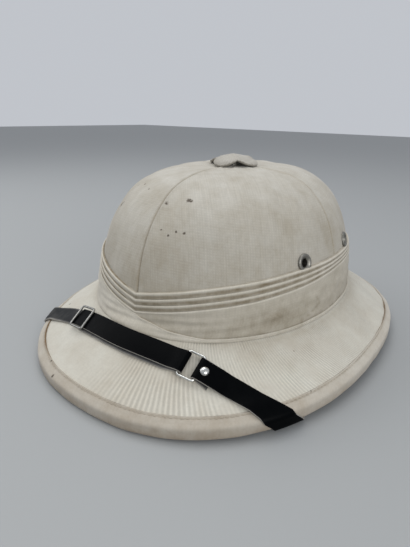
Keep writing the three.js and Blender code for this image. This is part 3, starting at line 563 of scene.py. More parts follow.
def thread_run(course, radius, sides=6):
    """One closed thread along a course (points, 3), with pinched ends."""
    forward = np.gradient(course, axis=0)
    forward /= np.linalg.norm(forward, axis=1)[:, None]
    side = np.cross(forward, [0, 0, 1.0])
    side /= np.linalg.norm(side, axis=1)[:, None]
    above = np.cross(side, forward)
    angle = np.linspace(0, TAU, sides, endpoint=False)
    pinch = radius * np.sin(np.linspace(0.35, np.pi - 0.35, len(course)))[:, None, None]
    ring = side[:, None] * np.cos(angle)[None, :, None] + above[:, None] * np.sin(angle)[None, :, None]
    return course[:, None] + ring * pinch


def joined(name, runs, finish):
    """Many closed runs of rings (runs, stations, sides, 3) as one mesh."""
    runs = np.asarray(runs)
    count, stations, sides = runs.shape[:3]
    i, j = (grid.ravel() for grid in np.meshgrid(np.arange(stations - 1), np.arange(sides), indexing="ij"))
    tube = np.stack([i * sides + j, i * sides + (j + 1) % sides,
                     (i + 1) * sides + (j + 1) % sides, (i + 1) * sides + j], -1)
    faces = []
    for number in range(count):
        base = number * stations * sides
        faces += (tube[:, ::-1] + base).tolist()
        faces.append((np.arange(sides) + base).tolist())
        faces.append((np.arange(sides)[::-1] + base + (stations - 1) * sides).tolist())
    mesh = bpy.data.meshes.new(name)
    mesh.from_pydata((runs.reshape(-1, 3) * MM).tolist(), [], faces)
    mesh.polygons.foreach_set("use_smooth", np.ones(len(faces), bool))
    mesh.materials.append(finish)
    piece = bpy.data.objects.new(name, mesh)
    bpy.context.scene.collection.objects.link(piece)
    return piece


sewing_thread = woven_cotton("waxed cotton sewing thread", "#b9b09f", "#a09583", "#7d7263")
spots = place(around, b.end_r, b.end_z)
distance = np.concatenate([[0], np.cumsum(np.linalg.norm(np.diff(spots, axis=0), axis=1))])
stitch_count = int(distance[-1] / STITCH_PITCH)
stitches = []
for number in range(stitch_count):
    reach = (number + np.linspace(0.12, 0.88, 6)) * distance[-1] / stitch_count
    turn = np.interp(reach, distance, around)
    arch = 0.32 * np.sin(np.linspace(0, np.pi, 6))
    stitches.append(thread_run(rim_point(turn, STITCH_LINE - BINDING_TOP, 0.12 + arch), THREAD_RADIUS))
seam = joined("binding_stitches", stitches, sewing_thread)
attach(seam, "root")
print("stitches round the rim:", stitch_count)

# %% [markdown]
# ## The puggaree
# A long scarf of thin cotton is pleated and wound round the crown. Three pleats lie over each
# other with their folded edges up, so each edge catches the light over a crevice that is painted
# dark. At the front they meet in a V. Under them the cloth lies smooth, its end laps over from the
# V down to the hem, and the hem is turned under. Each outline steps over every fold in turn, and
# carries its soiling and its painted shade.

# %% Puggaree
PLEATS = 3
PROUD, TUCK = 2.0, 1.45
BAND, LAP_STEP, HEM = 1.5, 0.8, 2.4
LAP_TURN, LAP_FALL = 26, 1.15
FOLD_ROWS = ((0, 0.247, 0.130), (14, 0.310, 0.133), (27, 0.359, 0.133), (40, 0.389, 0.130),
             (60, 0.414, 0.117), (90, 0.407, 0.085), (130, 0.400, 0.082), (180, 0.400, 0.082))


def smooth_row(turn_degrees, column):
    """A smooth curve through one column of the fold rows, as in a hand-drawn pattern."""
    knots = np.array([row[0] for row in FOLD_ROWS], float)
    levels = np.array([row[column] for row in FOLD_ROWS])
    slopes = np.diff(levels) / np.diff(knots)
    inner = (levels[2:] - levels[:-2]) / (knots[2:] - knots[:-2])
    slopes = np.concatenate([[slopes[0]], inner, [0]])
    row = np.clip(np.searchsorted(knots, turn_degrees) - 1, 0, len(knots) - 2)
    span = knots[row + 1] - knots[row]
    u = np.clip((turn_degrees - knots[row]) / span, 0, 1)
    bow = u * (1 - u) * ((1 - u) * slopes[row] - u * slopes[row + 1]) * span
    return levels[row] + (levels[row + 1] - levels[row]) * u * u * (3 - 2 * u) + bow


FINE = 720
turns = np.linspace(-np.pi, np.pi, FINE + 1)
signed = np.degrees(turns)
level = np.abs(signed)
top = smooth_row(level, 1) * CROWN.rise
pleats = smooth_row(level, 2) * CROWN.rise
foot_share, corner_r, corner_z, leg, b = wall_foot(turns)
flare = b.foot_r - crown_radius(turns) - BAND - LAP_STEP
hand_sway = 0.16 * ripple(turns * 100, 0 * turns, 26, 21)
band_top = top - pleats
high_lap = band_top - 1.7
front_fall = (high_lap[FINE // 2] - HEM) * np.clip(1 - level / LAP_TURN, 0, 1) ** LAP_FALL
back_fall = (high_lap - HEM) * np.clip(1 - (180 - level) / LAP_TURN, 0, 1)
lap = np.where(signed < 0, high_lap, HEM + front_fall + back_fall)
lap_shown = np.clip(level / 3, 0, 1) * (signed > 0) + 0.15
# The left of the V is kept nearly free of soiling, which paints it lighter for the light that falls on that side. Its
# crevices keep thin painted shade lines.
clean_and_lit_side = np.clip(-signed / 6, 0, 1) * np.clip((signed + 85) / 15, 0, 1)
STAIN_LINE = ((4.5, 63), (6.9, 69.2), (11.8, 74.1), (18.7, 70.8))


def wall_at(height_mm, off):
    r, z = crown_point(turns, height_mm / CROWN.rise)
    return r + off, z


rows, dirt_and_shade = [], []


def stained(height_mm):
    """The tide mark and the cloud that a spill left on the band at the left."""
    heights, middles = zip(*STAIN_LINE)
    tide = np.exp(-((signed - np.interp(height_mm, heights, middles)) / 1.1) ** 2) * (height_mm < heights[-1])
    cloud = np.exp(-((signed - 50) / 10) ** 2 - ((height_mm - 12) / 6) ** 2)
    return 0.3 * tide + 0.4 * cloud


def step(height_mm, off, grime_and_shade, hidden=0.0):
    """Adds a row at a height and a distance off the wall, with soiling and painted shade. What is
    hidden keeps its painted shade on every side.
    """
    rows.append(wall_at(height_mm, off))
    dirt_and_shade.append(np.broadcast_to(np.maximum(grime_and_shade * (1 - 0.9 * clean_and_lit_side) + stained(height_mm), hidden),
                                turns.shape))


# Rows into each crevice and down the face under each fold carry painted shade. The proud fold edges are kept clean.
for pleat in range(PLEATS + 1):
    line = top - pleats * pleat / PLEATS + hand_sway * (pleat % 2 - 0.4)
    following = top - pleats * (pleat + 1) / PLEATS
    start = TUCK - 0.45 * clean_and_lit_side
    step(line + 0.6, start if pleat else 0.15, 0.6, clean_and_lit_side)
    step(line + 0.34, 0.1 if pleat == 0 else start - 0.4, 0.85, 1.2 * clean_and_lit_side)
    step(line + 0.24, 1.0, 0.6, 1.2 * clean_and_lit_side)
    step(line + 0.1, 1.7, 0.0)
    step(line - 0.12, PROUD, -0.2)
    step(line - 0.5, PROUD + 0.04, -0.1)
    step(line - 1.0, PROUD - 0.02, 0.3)
    if pleat < PLEATS:
        for part in (0.35, 0.6, 0.85):
            sag = 0.12 * ripple(turns * 100, 0 * turns + 9 * pleat, 18, 31 + pleat)
            height_mm = line - 1.0 + (following + 0.6 - line + 1.0) * part
            step(height_mm, PROUD + (start - PROUD) * part + sag * 4 * part * (1 - part), 1.05)


def band_off(height_mm):
    fall = np.clip((band_top - height_mm) / band_top, 0, 1)
    settle = (PROUD - BAND) * np.exp(-np.clip(band_top - 0.8 - height_mm, 0, None) / 1.6)
    middle = np.sin(np.pi * np.clip(fall, 0, 1)) ** 0.7
    crease = 0.42 * ripple(turns * 38, height_mm * 2.1, 11, 41) * middle
    return BAND + flare * fall ** 2 + settle + crease


upper_rows = 16
for part in np.linspace(0.06, 1, upper_rows):
    height_mm = (band_top - 0.8) + (lap + 0.5 - band_top + 0.8) * part
    fall = (band_top - height_mm) / band_top
    step(height_mm, band_off(height_mm), 0.32 + 0.3 * fall)
# Painted shade in the step along the lap's edge.
for rise, off, grime_and_shade in ((0.26, 0.02, 0.8), (0.16, 0.55, 0.45), (0.0, 0.86, 0.0), (-0.3, 1.0, 0.0),
                         (-0.8, 0.95, 0.1)):
    step(lap + rise, band_off(lap) + off * (0.35 + 0.65 * lap_shown) - 0.1, grime_and_shade * lap_shown)
# Painted shadow along the foot of the hem, where it meets the brim.
lower_rows = 12
for part in np.linspace(0.1, 1, lower_rows):
    height_mm = (lap - 0.8) * (1 - part) + 0.25 * part
    lip = 0.5 * np.exp(-((height_mm - 1.6) / 1.4) ** 2)
    step(height_mm, band_off(height_mm) + LAP_STEP + lip, 0.03 + 0.4 * np.exp(-height_mm / 0.6))
way_r, way_z = b.way_r, b.way_z
# The last row tucks into the brim and is painted fully dark.
rows.append((b.foot_r - way_z * GAP - 0.3, b.foot_z + way_r * GAP))
dirt_and_shade.append(np.ones_like(turns))
outer = np.stack([place(turns, *row) for row in rows], 1)
back_rows = [wall_at(top + (foot_share * CROWN.rise - top) * part, GAP) for part in np.linspace(0, 1, 6)]
back_rows.append((b.foot_r - 2.5, b.foot_z + GAP + 1.2))
inner = np.stack([place(turns, *row) for row in back_rows], 1)
while (outer.shape[1] + inner.shape[1]) % 2:
    inner = inner[:, 1:]
r_rows = np.stack([row[0] for row in rows], 1)
z_rows = np.stack([row[1] for row in rows], 1)
coat = np.stack([turns[:, None] * r_rows, along_outline(r_rows, z_rows),
                 np.clip(np.stack(dirt_and_shade, 1), 0, 1.3)], -1)
lining = np.zeros((FINE + 1, inner.shape[1], 3))
scarf = woven_cotton("thin pleated cotton, grimy, with painted shade", "#c6c0b3", "#aba494", "#695b40", 0.7)
puggaree = skin("puggaree_scarf", np.concatenate([outer, inner[:, ::-1]], 1),
                np.concatenate([coat, lining], 1), True, [scarf])
dress(puggaree, "puggaree_cloth", "puggaree")
hem_length = np.linalg.norm(np.diff(outer[:, -2], axis=0), axis=1).sum()
cut_from(puggaree, along_outline(r_rows, z_rows).max(), hem_length, "folded", *(f"gore_{name}" for name in GORES))

# %% [markdown]
# ## The vent cap
# A small dome covered in the scarf's cloth stands over the vent. Its edge comes down to the crown
# in four lobes, with arches between them that let air out. Cloth drawn round such an edge
# gathers, so fine radial puckers grow toward the rim of each lobe.

# %% Vent cap
CAP = SimpleNamespace(radius=20.8, arch_inset=6.6, height=8.6, arch=3.8, thick=1.4, dome=1.5,
                      breadth=0.6)
apex = float(crown_point(np.array(0.0), 1.0)[1])
turn = np.linspace(0, TAU, 289)
lobe = ((1 + np.cos(4 * turn)) / 2) ** CAP.breadth
cap_radius = CAP.radius - CAP.arch_inset * (1 - lobe)
edge = GAP + CAP.thick + CAP.arch * (1 - lobe)
run = np.sin(np.linspace(0, 1, 30) * np.pi / 2)[None, :]
r = cap_radius[:, None] * run
z = apex + tilt_at(turn[:, None], r) + edge[:, None] + (CAP.height - edge[:, None]) * (1 - run ** CAP.dome)
gathers = 0.32 * np.sin(turn * 46 + 2.5 * np.sin(turn * 5))[:, None] * np.clip(run - 0.55, 0, 1) * 2.2
gathers = gathers + 0.35 * ripple(r * np.cos(turn[:, None]), r * np.sin(turn[:, None]), 9, 5) * run
roll = np.array([[-0.1, -0.35], [-0.35, -1.1], [-0.9, -CAP.thick + 0.1]])
edge_r = cap_radius[:, None] + roll[None, :, 0]
edge_z = z[:, -1:] + roll[None, :, 1]
under_r = (cap_radius[:, None] - 2.0) * run[:, ::-1]
under_z = z[:, ::-1] - CAP.thick
r = np.concatenate([r, edge_r, under_r], 1)
z = np.concatenate([z + gathers, edge_z, under_z], 1)
r = np.maximum(r, 0.02)
# Painted shade under the cap and on its rolled edge. The top is drawn darker towards the rim.
grime_and_shade = np.concatenate([0.08 + 0.42 * np.broadcast_to(run, gathers.shape) ** 5,
                        0.7 * np.ones_like(edge_r), np.ones_like(under_r)], 1)
cap_cloth = woven_cotton("scarf cotton gathered over the cap", "#b4b0a7", "#9a958a", "#5a5247")
coat = np.stack([turn[:, None] * 20 + 0 * r, along_outline(r, z), grime_and_shade], -1)
if r.shape[1] % 2:
    r, z, coat = r[:, :-1], z[:, :-1], coat[:, :-1]
cap = skin("cap_cloth", place(turn[:, None], r, z), coat, True, [cap_cloth])
dress(cap, "puggaree_cloth", "vent_cap")
cut_from(cap, 2 * along_outline(r, z)[:, 29].max(), 2 * along_outline(r, z)[:, 29].max(), "gathered", "vent_post")

# %% [markdown]
# ## Metal
# The eyelets, ring, slider and rivet are steel wire and pressings with a nickel plate. Nickel is
# a warm grey metal. Handling dulls its polish, so roughness wanders between shiny and satin, and
# the eyelets have gone darkest. A metal's colour is its reflection, so it keeps the default IOR.

# %% Nickel plate
def plated_nickel(name, colour, low, high):
    finish = bpy.data.materials.new(name)
    finish.use_nodes = True
    tree = finish.node_tree
    shader = tree.nodes["Principled BSDF"]
    shader.inputs["Metallic"].default_value = 1.0
    spot = add(tree, "ShaderNodeTexCoord").outputs["Object"]
    wear = add(tree, "ShaderNodeTexNoise", {"Vector": spot, "Scale": 900.0, "Detail": 4.0}).outputs["Fac"]
    rough = add(tree, "ShaderNodeMapRange", {0: wear, 1: 0.3, 2: 0.7, 3: low, 4: high}).outputs[0]
    tarnish = add(tree, "ShaderNodeMix", {0: rough, 6: linear(colour), 7: linear("#5c5850")},
                  data_type="RGBA").outputs[2]
    tree.links.new(tarnish, shader.inputs["Base Color"])
    tree.links.new(rough, shader.inputs["Roughness"])
    scratches = add(tree, "ShaderNodeBump", {"Height": wear, "Distance": 0.05 * MM, "Strength": 0.4})
    tree.links.new(scratches.outputs["Normal"], shader.inputs["Normal"])
    return finish


bright_nickel = plated_nickel("nickel plate, handled", "#dfe0dc", 0.12, 0.34)
satin_nickel = plated_nickel("nickel plate, worn satin", "#a3a3a0", 0.26, 0.5)
dull_nickel = plated_nickel("nickel plate, tarnished", "#a5a39c", 0.34, 0.6)


def turned(name, outline, centre, axis, finish, sides=48):
    """A closed ring or dome turned about an axis, from (radius, distance along the axis)."""
    outline = np.array(outline + [outline[-1]] * (len(outline) % 2), float)
    axis = np.array(axis) / np.linalg.norm(axis)
    side = np.cross(axis, [0, 0, 1.0])
    side /= np.linalg.norm(side)
    above = np.cross(side, axis)
    angle = np.linspace(0, TAU, sides + 1)
    spoke = side * np.cos(angle)[:, None] + above * np.sin(angle)[:, None]
    points = centre + spoke[:, None] * outline[None, :, :1] + axis * outline[None, :, 1:]
    return skin(name, points, np.zeros_like(points), True, [finish])


# %% [markdown]
# An eyelet is a pressed washer with a rolled rim and a short tube that is clinched inside the
# shell. The tube is open, so the dark inside of the helmet shows through it.

# %% Eyelets
EYELET = SimpleNamespace(radius=6.2, bore=2.9, wall=0.8, flange=1.0, clinch=5.0, height=0.451,
                         spacing=70, lead=7)
FACET_SAG = RIM.half_length * (1 - np.cos(np.pi / 40))
barrel = EYELET.bore + EYELET.wall
inside = -(CLOTH + GAP + SHELL_WALL + GAP + FACET_SAG)
washer = [(EYELET.bore, inside - 0.8), (EYELET.bore + 0.6, inside - 1.0), (EYELET.clinch, inside - 0.7),
          (EYELET.clinch, inside), (barrel, inside), (barrel, GAP), (EYELET.radius, GAP)]
washer += [(barrel + 1.25 * np.cos(a) + 1.2, GAP + 0.15 + 1.05 * np.sin(a)) for a in np.linspace(0.1, 2.6, 8)]
washer += [(EYELET.bore + 0.35, GAP + 0.45), (EYELET.bore, GAP - 0.2)]
bores = []
for across, side in ((1, "left"), (-1, "right")):
    for along, end in ((1, "front"), (-1, "back")):
        reach = CROWN.half_width * (1 - EYELET.height ** CROWN.flatness) ** (1 / CROWN.steepness)
        turn = np.arctan2(across * reach, EYELET.lead + along * EYELET.spacing / 2)
        spots = [place(*t) for t in ((turn + dt, *crown_point(turn + dt, EYELET.height + ds))
                                     for dt, ds in ((0, 0), (0.01, 0), (0, 0.01)))]
        outward = np.cross(spots[1] - spots[0], spots[2] - spots[0])
        eyelet = turned(f"eyelet_ring_{end}_{side}", washer, spots[0], outward, dull_nickel)
        dress(eyelet, "nickel", f"eyelet_{end}_{side}")
        bore = [(0.02, inside - 3), (barrel + 0.15, inside - 3), (barrel + 0.15, 3), (0.02, 3)]
        bores.append(turned(f"bore_{end}_{side}", bore, spots[0], outward, dull_nickel, 24))

# %% [markdown]
# ## The chin strap
# One strip of black leather about 15 mm wide and 1.5 mm thick. It comes over the rim at the left
# with its dull flesh side up, turns back round the ring, and lies on itself as far as the slider
# with its polished grain side up. The short piece folds round the ring too and is riveted. The
# strap follows a course from close to the hem at the front to the rim at each side. At every
# stop a cross-section with eased edges is laid on the brim.

# %% The strap's course
STRAP = SimpleNamespace(width=14.1, thick=1.3, wrap_left=42.2, wrap_right=44.3, sweep=2.6, shift=1.8)
HARDWARE = SimpleNamespace(wire=0.8, corner=1.7, ring=11, ring_place=53, slider=15.5,
                           slider_place=-43, skew=12, tail=9, tail_shift=1.8, flatten=9, rivet=3.7,
                           lead=1)
ANCHOR = SimpleNamespace(turn=86, tail=7, inset=12)
BRIDGE = SimpleNamespace(lift=1.1, before=6, length=6)


def course(side, share):
    wrap = np.radians(STRAP.wrap_right if side > 0 else STRAP.wrap_left)
    turn = side * wrap * share
    clear = (STRAP.width / 2 + 2 * GAP) / front_brim.length
    return turn, ((clear + (1 - clear) * share ** STRAP.sweep) - 1) * brim_line(turn).length


share = np.linspace(0, 1, 1201)
tracks = {}
for side in (1, -1):
    path = rim_point(*course(side, share), 0)
    lengths = np.concatenate([[0], np.cumsum(np.linalg.norm(np.diff(path, axis=0), axis=1))])
    tracks[side] = lengths
print("strap from front to rim in mm:", {side: round(t[-1], 1) for side, t in tracks.items()})


def unit(vector):
    return vector / np.linalg.norm(vector)


def strap_frame(distance):
    """Where the middle of the strap is, and its directions, at a distance from the front."""
    side = -1 if distance < 0 else 1
    here_share = np.interp(abs(distance), tracks[side], share)
    turn, s = course(side, here_share)
    here, lifted_spot = rim_point(turn, s, 0), rim_point(turn, s, 1)
    ahead = rim_point(*course(side, min(here_share + 0.004, 1)), 0)
    behind = rim_point(*course(side, max(here_share - 0.004, 0)), 0)
    above = unit(lifted_spot - here)
    across = unit(np.cross(above, (ahead - behind) * side))
    return SimpleNamespace(here=here, up=above, across=across, forward=np.cross(across, above))


def flat_spots(distance, v, shift):
    """Turns and places along the brim for points across the strap."""
    f = strap_frame(distance)
    spot = f.here + f.across * (v[:, None] * STRAP.width / 2 - shift)
    turn = np.arctan2(spot[:, 0], -(spot[:, 1] + LEAD))
    b = brim_line(turn)
    return turn, (np.hypot(spot[:, 0], spot[:, 1] + LEAD) - b.end_r) / b.way_r


# Points across the strap's two faces and its two cut edges, with the edges eased.
FACE = np.array([-0.975, -0.8, -0.45, 0.0, 0.45, 0.8, 0.975])
EDGE = np.array([1.0, 1.0])
V = np.concatenate([FACE, EDGE, FACE[::-1], -EDGE])
EASE = 0.3
LOW_FIRST = np.concatenate([0 * FACE, [EASE, 1 - EASE], 0 * FACE + 1, [1 - EASE, EASE]])
GRAIN, CUT, FLESH = 0, 1, 2
FINISH_OF = np.array([GRAIN] * 6 + [CUT] * 3 + [FLESH] * 6 + [CUT] * 3)


def bridging(s):
    """How far the strap stands off the brim just before it bends over the rim."""
    return BRIDGE.lift * np.exp(-((s + BRIDGE.before) / BRIDGE.length) ** 2)


def laid(distance, lay, grain_up, shift=0.0):
    """A section lying lay over the brim. The grain side is the loop's first face."""
    depth = 1 - LOW_FIRST if grain_up else LOW_FIRST
    turn, s = flat_spots(distance, V, shift)
    crown_of_face = 0.12 * (1 - V ** 2) * (depth > 0.5)
    return rim_point(turn, s, lay + depth * STRAP.thick + crown_of_face + bridging(s))


def steps(start, end, pace=2.0):
    return np.linspace(start, end, max(2, int(abs(end - start) / pace) + 1))


LOWER = GAP
UPPER = LOWER + STRAP.thick + GAP
RING = UPPER + HARDWARE.wire
FOLD = RING + HARDWARE.wire + GAP
SLIDER = UPPER + STRAP.thick + GAP + HARDWARE.wire
RING_LEFT = HARDWARE.ring_place - HARDWARE.ring / 2
RING_RIGHT = HARDWARE.ring_place + HARDWARE.ring / 2
SLIDER_LEFT = HARDWARE.slider_place - HARDWARE.slider / 2


def fold(distance, direction):
    """The leather round a bar of the ring, grain side outward, from below to above."""
    f = strap_frame(distance)
    centre = f.here + f.up * RING
    loops = []
    for angle in np.linspace(-np.pi / 2, np.pi / 2, 15):
        radius = HARDWARE.wire + GAP + (1 - LOW_FIRST) * STRAP.thick
        loops.append(centre + f.across * (V * STRAP.width / 2)[:, None]
                     + f.forward * (direction * radius * np.cos(angle))[:, None]
                     + f.up * (radius * np.sin(angle))[:, None])
    return loops


def wrapped(side, grain_up):
    """Sections along the rim, over it and under it, each point on a line round the rim."""
    wrap = np.radians(STRAP.wrap_right if side > 0 else STRAP.wrap_left)
    b = brim_line(np.array(wrap))
    turn_before, s_before = course(side, share[-6])
    slant = np.arctan2(-s_before, b.rim * (wrap - abs(turn_before)))
    depth = 1 - LOW_FIRST if grain_up else LOW_FIRST
    flat_turn, flat_s = flat_spots(side * (tracks[side][-1] - STRAP.width), V, 0)
    loops = []
    for s in np.concatenate([np.linspace(-9, 0, 7)[1:], np.linspace(0, b.land + BINDING_UNDER, 34)[1:]]):
        turn = side * (wrap + (max(s, 0) / np.tan(slant) + V * STRAP.width / 2 / np.sin(slant)) / b.rim)
        here_s = max(s, 0.0)
        share_of_way = 1 + s / 9 if s < 0 else 1.0
        turn_v = flat_turn + (turn - flat_turn) * share_of_way
        s_v = flat_s + (here_s - flat_s) * share_of_way
        loops.append(rim_point(turn_v, s_v, GAP + depth * STRAP.thick + bridging(s_v)))
    return loops


def under_brim(turn, inset, height):
    b = brim_line(turn)
    deep = CLOTH + GAP + SHELL_WALL + height
    return place(turn, b.foot_r + b.way_r * inset + b.way_z * deep,
                 b.foot_z + b.way_z * inset - b.way_r * deep)


def anchored(side, grain_up):
    """The strap's end on the bare underside of the shell, held by its hidden rivet."""
    depth = 1 - LOW_FIRST if grain_up else LOW_FIRST
    half = ANCHOR.tail / (brim_line(np.array(np.pi / 2)).foot_r + ANCHOR.inset)
    loops = []
    for turn in np.radians(ANCHOR.turn) + half * np.linspace(-1, 1, 5):
        loops.append(under_brim(side * turn, ANCHOR.inset + V * STRAP.width / 2,
                                GAP + FACET_SAG + depth * STRAP.thick))
    return loops


def strap_piece(name, loops, lengths_offset=0.0):
    points = np.array(loops)
    middle = points.mean(axis=1)
    run = lengths_offset + np.concatenate([[0], np.cumsum(np.linalg.norm(np.diff(middle, axis=0), axis=1))])
    across = np.broadcast_to(V * STRAP.width / 2, points.shape[:2])
    edge = np.broadcast_to(np.clip((np.abs(V) - 0.8) / 0.2, 0, 1), points.shape[:2])
    cloth = np.stack([across, np.broadcast_to(run[:, None], points.shape[:2]), edge], -1)
    print(name, "length in mm:", round(float(run[-1]), 1))
    return skin(name, points, cloth, False, [grain_side, cut_edge, flesh_side], FINISH_OF)


# %% [markdown]
# Strap leather is split cowhide, dyed black. The grain side was glazed, so it is smooth with fine
# pores and creases and a soft shine; the flesh side is fibrous and dull. A cut edge shows the
# grey-brown core where the dye has worn off.

# %% Black leather
def dyed_leather(name, dark, worn, low, high, pore_mm, relief_mm, shine):
    finish = bpy.data.materials.new(name)
    finish.use_nodes = True
    tree = finish.node_tree
    shader = tree.nodes["Principled BSDF"]
    shader.inputs["IOR"].default_value = 1.4
    shader.inputs["Specular IOR Level"].default_value = shine
    place_in_strap = add(tree, "ShaderNodeSeparateXYZ", {
        "Vector": add(tree, "ShaderNodeAttribute", attribute_name="cloth").outputs["Vector"]})
    spot = add(tree, "ShaderNodeTexCoord").outputs["Object"]
    pores = add(tree, "ShaderNodeTexVoronoi", {"Vector": spot, "Scale": 1 / (pore_mm * MM)})
    creases = add(tree, "ShaderNodeTexNoise", {"Vector": spot, "Scale": 1 / (3.5 * MM), "Detail": 6.0})
    rub = add(tree, "ShaderNodeTexNoise", {"Vector": spot, "Scale": 1 / (12 * MM), "Detail": 5.0})
    worn_share = add(tree, "ShaderNodeMapRange", {0: rub.outputs["Fac"], 1: 0.45, 2: 0.75}).outputs[0]
    rubbed = add(tree, "ShaderNodeMath", {0: worn_share, 1: 0.5, 2: 0.4}, operation="MULTIPLY_ADD").outputs[0]
    edge_wear = add(tree, "ShaderNodeMath", {0: place_in_strap.outputs["Z"], 1: rubbed},
                    operation="MULTIPLY").outputs[0]
    tone_share = add(tree, "ShaderNodeMath", {0: worn_share, 1: 0.12, 2: edge_wear},
                     operation="MULTIPLY_ADD").outputs[0]
    tone = add(tree, "ShaderNodeMix", {0: tone_share, 6: linear(dark), 7: linear(worn)},
               data_type="RGBA").outputs[2]
    tree.links.new(tone, shader.inputs["Base Color"])
    rough = add(tree, "ShaderNodeMapRange", {0: creases.outputs["Fac"], 1: 0.3, 2: 0.7, 3: low, 4: high})
    tree.links.new(rough.outputs[0], shader.inputs["Roughness"])
    relief = add(tree, "ShaderNodeMath", {0: pores.outputs["Distance"], 1: creases.outputs["Fac"]},
                 operation="ADD").outputs[0]
    bump = add(tree, "ShaderNodeBump", {"Height": relief, "Distance": relief_mm * MM, "Strength": 0.6})
    tree.links.new(bump.outputs["Normal"], shader.inputs["Normal"])
    return finish


grain_side = dyed_leather("black cowhide, glazed grain side", "#030405", "#0a0b0d", 0.3, 0.42, 0.6, 0.04, 0.04)
flesh_side = dyed_leather("black cowhide, flesh side", "#2f3031", "#8f8c87", 0.75, 0.95, 0.35, 0.12, 0.1)
cut_edge = dyed_leather("black cowhide, worn cut edge", "#7f7c78", "#aeaaa2", 0.6, 0.85, 0.4, 0.1, 0.25)

# %% Long strap
lower_stops = list(steps(-(tracks[-1][-1] - STRAP.width), RING_LEFT - 1))
ease_in = np.clip((np.array(lower_stops) - SLIDER_LEFT - 2) / 10, 0, 1)
ease_out = np.clip((RING_LEFT - 1 - np.array(lower_stops)) / 10, 0, 1)
slip = STRAP.shift * np.minimum(ease_in, ease_out)
upper_stops = steps(RING_LEFT, SLIDER_LEFT)[1:]
long_loops = anchored(-1, False)[::-1] + wrapped(-1, False)[::-1]
long_loops += [laid(d, LOWER, False, shift) for d, shift in zip(lower_stops, slip)]
long_loops += fold(RING_LEFT, 1)
for distance in upper_stops:
    fall = np.clip((RING_LEFT - distance) / HARDWARE.flatten, 0, 1)
    rise = (FOLD - UPPER) * (1 - fall * fall * (3 - 2 * fall))
    long_loops.append(laid(distance, UPPER + rise, True))
long_strap = strap_piece("strap_leather_long", long_loops)
dress(long_strap, "strap_leather", "strap_long")

# %% Short strap
short_loops = [laid(d, LOWER, False, slip) for d, slip in
               zip(np.linspace(RING_RIGHT + HARDWARE.tail, RING_RIGHT + 1, 6),
                   np.linspace(HARDWARE.tail_shift, 0, 6))]
short_loops += fold(RING_RIGHT, -1)
plate_end = RING_RIGHT + HARDWARE.tail + 1
down_end = RING_RIGHT + 2 * HARDWARE.tail + STRAP.thick
for distance in steps(RING_RIGHT, plate_end)[1:]:
    fall = (distance - RING_RIGHT) / (plate_end - RING_RIGHT)
    short_loops.append(laid(distance, FOLD + (UPPER - FOLD) * fall, True))
for distance in steps(plate_end, tracks[1][-1] - STRAP.width)[1:]:
    fall = np.clip((distance - plate_end) / (down_end - plate_end), 0, 1)
    short_loops.append(laid(distance, UPPER + (LOWER - UPPER) * fall * fall * (3 - 2 * fall), True))
short_loops += wrapped(1, True) + anchored(1, True)
short_strap = strap_piece("strap_leather_short", short_loops)
dress(short_strap, "strap_leather", "strap_short")

# %% [markdown]
# The ring and the slider are bent from 1.8 mm wire with small round corners. The rivet is a low
# pressed dome, tilted with the leather that it holds.

# %% Ring, slider and rivet
def wire(name, start, end, height, skew_degrees, finish, node):
    first, last = strap_frame(start), strap_frame(end)
    length, width = end - start, STRAP.width + 2 * (HARDWARE.wire + 2 * GAP)
    path = []
    for a, b, angle in ((1, 1, 0), (-1, 1, 90), (-1, -1, 180), (1, -1, 270)):
        for bend in np.linspace(0, 90, 9):
            way = np.radians(angle + bend)
            path.append((a * (length / 2 - HARDWARE.corner) + HARDWARE.corner * np.cos(way),
                         b * (width / 2 - HARDWARE.corner) + HARDWARE.corner * np.sin(way), way))
    path.append(path[0])
    loops = []
    for x, y, way in path:
        share_of_way = (x - y * np.tan(np.radians(skew_degrees))) / length + 0.5
        here, above, across, forward = (getattr(first, key) * (1 - share_of_way) + getattr(last, key) * share_of_way
                                        for key in ("here", "up", "across", "forward"))
        centre = here + above * height + across * y
        outward = forward * np.cos(way) + across * np.sin(way)
        loops.append([centre + HARDWARE.wire * (outward * np.cos(a) + above * np.sin(a))
                      for a in np.linspace(0, TAU, 16, endpoint=False)])
    points = np.array(loops)
    dress(skin(name, points, np.zeros_like(points), True, [finish]), "nickel", node)


wire("ring_wire", RING_LEFT, RING_RIGHT, RING, 0, bright_nickel, "strap_ring")
wire("slider_wire", SLIDER_LEFT, SLIDER_LEFT + HARDWARE.slider, SLIDER, HARDWARE.skew, satin_nickel,
     "strap_slider")
fold_top = strap_frame(RING_RIGHT).here + strap_frame(RING_RIGHT).up * (FOLD + STRAP.thick)
plate = strap_frame(plate_end)
ramp = plate.here + plate.up * (UPPER + STRAP.thick) - fold_top
seat = fold_top + ramp * HARDWARE.rivet / (HARDWARE.tail + 1)
rivet_axis = unit(np.cross(ramp, strap_frame(RING_RIGHT + HARDWARE.rivet).across))
dome = [(0.02, -FOLD + LOWER), (1.3, -FOLD + LOWER), (1.3, 0.05), (2.6, 0.05), (2.85, 0.3), (2.8, 0.5)]
dome += [(2.6 * np.cos(a), 0.5 + 1.25 * np.sin(a)) for a in np.linspace(0.12, np.pi / 2 - 0.02, 10)]
rivet = turned("rivet_dome", dome, seat, rivet_axis, bright_nickel)
dress(rivet, "nickel", "strap_rivet")

# %% [markdown]
# ## The bare shell
# Inside, the moulded pith shows. It is one smooth body here: a crown and brim about 7 mm thick,
# tan and fine-grained like cork. The hidden post and rivets keep their CAD form.

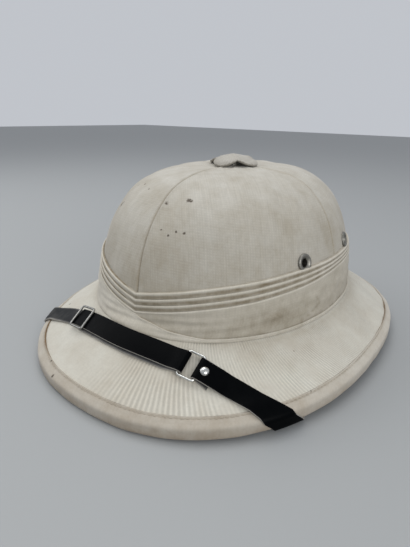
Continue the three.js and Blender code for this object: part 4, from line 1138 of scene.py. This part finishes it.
# %% Pith shell
def bare_pith():
    finish = bpy.data.materials.new("moulded pith")
    finish.use_nodes = True
    tree = finish.node_tree
    shader = tree.nodes["Principled BSDF"]
    shader.inputs["Roughness"].default_value = 0.95
    spot = add(tree, "ShaderNodeTexCoord").outputs["Object"]
    grain = add(tree, "ShaderNodeTexNoise", {"Vector": spot, "Scale": 1 / (4 * MM), "Detail": 8.0}).outputs["Fac"]
    cells = add(tree, "ShaderNodeTexVoronoi", {"Vector": spot, "Scale": 1 / (1.5 * MM)}).outputs["Distance"]
    share = add(tree, "ShaderNodeMapRange", {0: grain, 1: 0.3, 2: 0.7}).outputs[0]
    tone = add(tree, "ShaderNodeMix", {0: share, 6: linear("#b3a78d"), 7: linear("#c9bfa7")},
               data_type="RGBA").outputs[2]
    tree.links.new(tone, shader.inputs["Base Color"])
    height = add(tree, "ShaderNodeMath", {0: grain, 1: cells}, operation="ADD").outputs[0]
    bump = add(tree, "ShaderNodeBump", {"Height": height, "Distance": 0.3 * MM, "Strength": 0.7})
    tree.links.new(bump.outputs["Normal"], shader.inputs["Normal"])
    return finish


pith = bare_pith()
turn = np.linspace(0, TAU, 241)
crown_r, crown_z = crown_outline(turn, 40)
share, corner_r, corner_z, leg, b = wall_foot(turn)
edge_r, edge_z = b.end_r[:, None], b.end_z[:, None]
fillet = [corner + way * leg for corner, way in ((corner_r, b.way_r), (corner_z, b.way_z))]
outline_r = np.concatenate([crown_r, fillet[0][:, None], edge_r], 1)
outline_z = np.concatenate([crown_z, fillet[1][:, None], edge_z], 1)
outer = lifted(outline_r, outline_z, -CLOTH - GAP)
inner = lifted(outline_r, outline_z, -CLOTH - GAP - SHELL_WALL)
points = np.concatenate([place(turn[:, None], *outer), place(turn[:, None], *inner)[:, ::-1]], 1)
shell = skin("pith_moulding", points, np.zeros_like(points), True, [pith])
dress(shell, "pith", *(f"pith_{part}_{name}" for part in ("crown", "brim") for name in GORES))

# The eyelets' bores go right through the cloth and the shell.
for piece in (*gores, shell):
    for bore in bores:
        cut = piece.modifiers.new("bore", "BOOLEAN")
        cut.object, cut.operation, cut.solver = bore, "DIFFERENCE", "EXACT"
    whole = piece.evaluated_get(bpy.context.evaluated_depsgraph_get())
    pierced = bpy.data.meshes.new_from_object(whole, preserve_all_data_layers=True,
                                              depsgraph=bpy.context.evaluated_depsgraph_get())
    piece.modifiers.clear()
    piece.data = pierced
for bore in bores:
    bpy.data.objects.remove(bore)

for name in ("vent_post", "strap_anchor_left", "strap_anchor_right"):
    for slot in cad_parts[name].material_slots:
        slot.material = dull_nickel
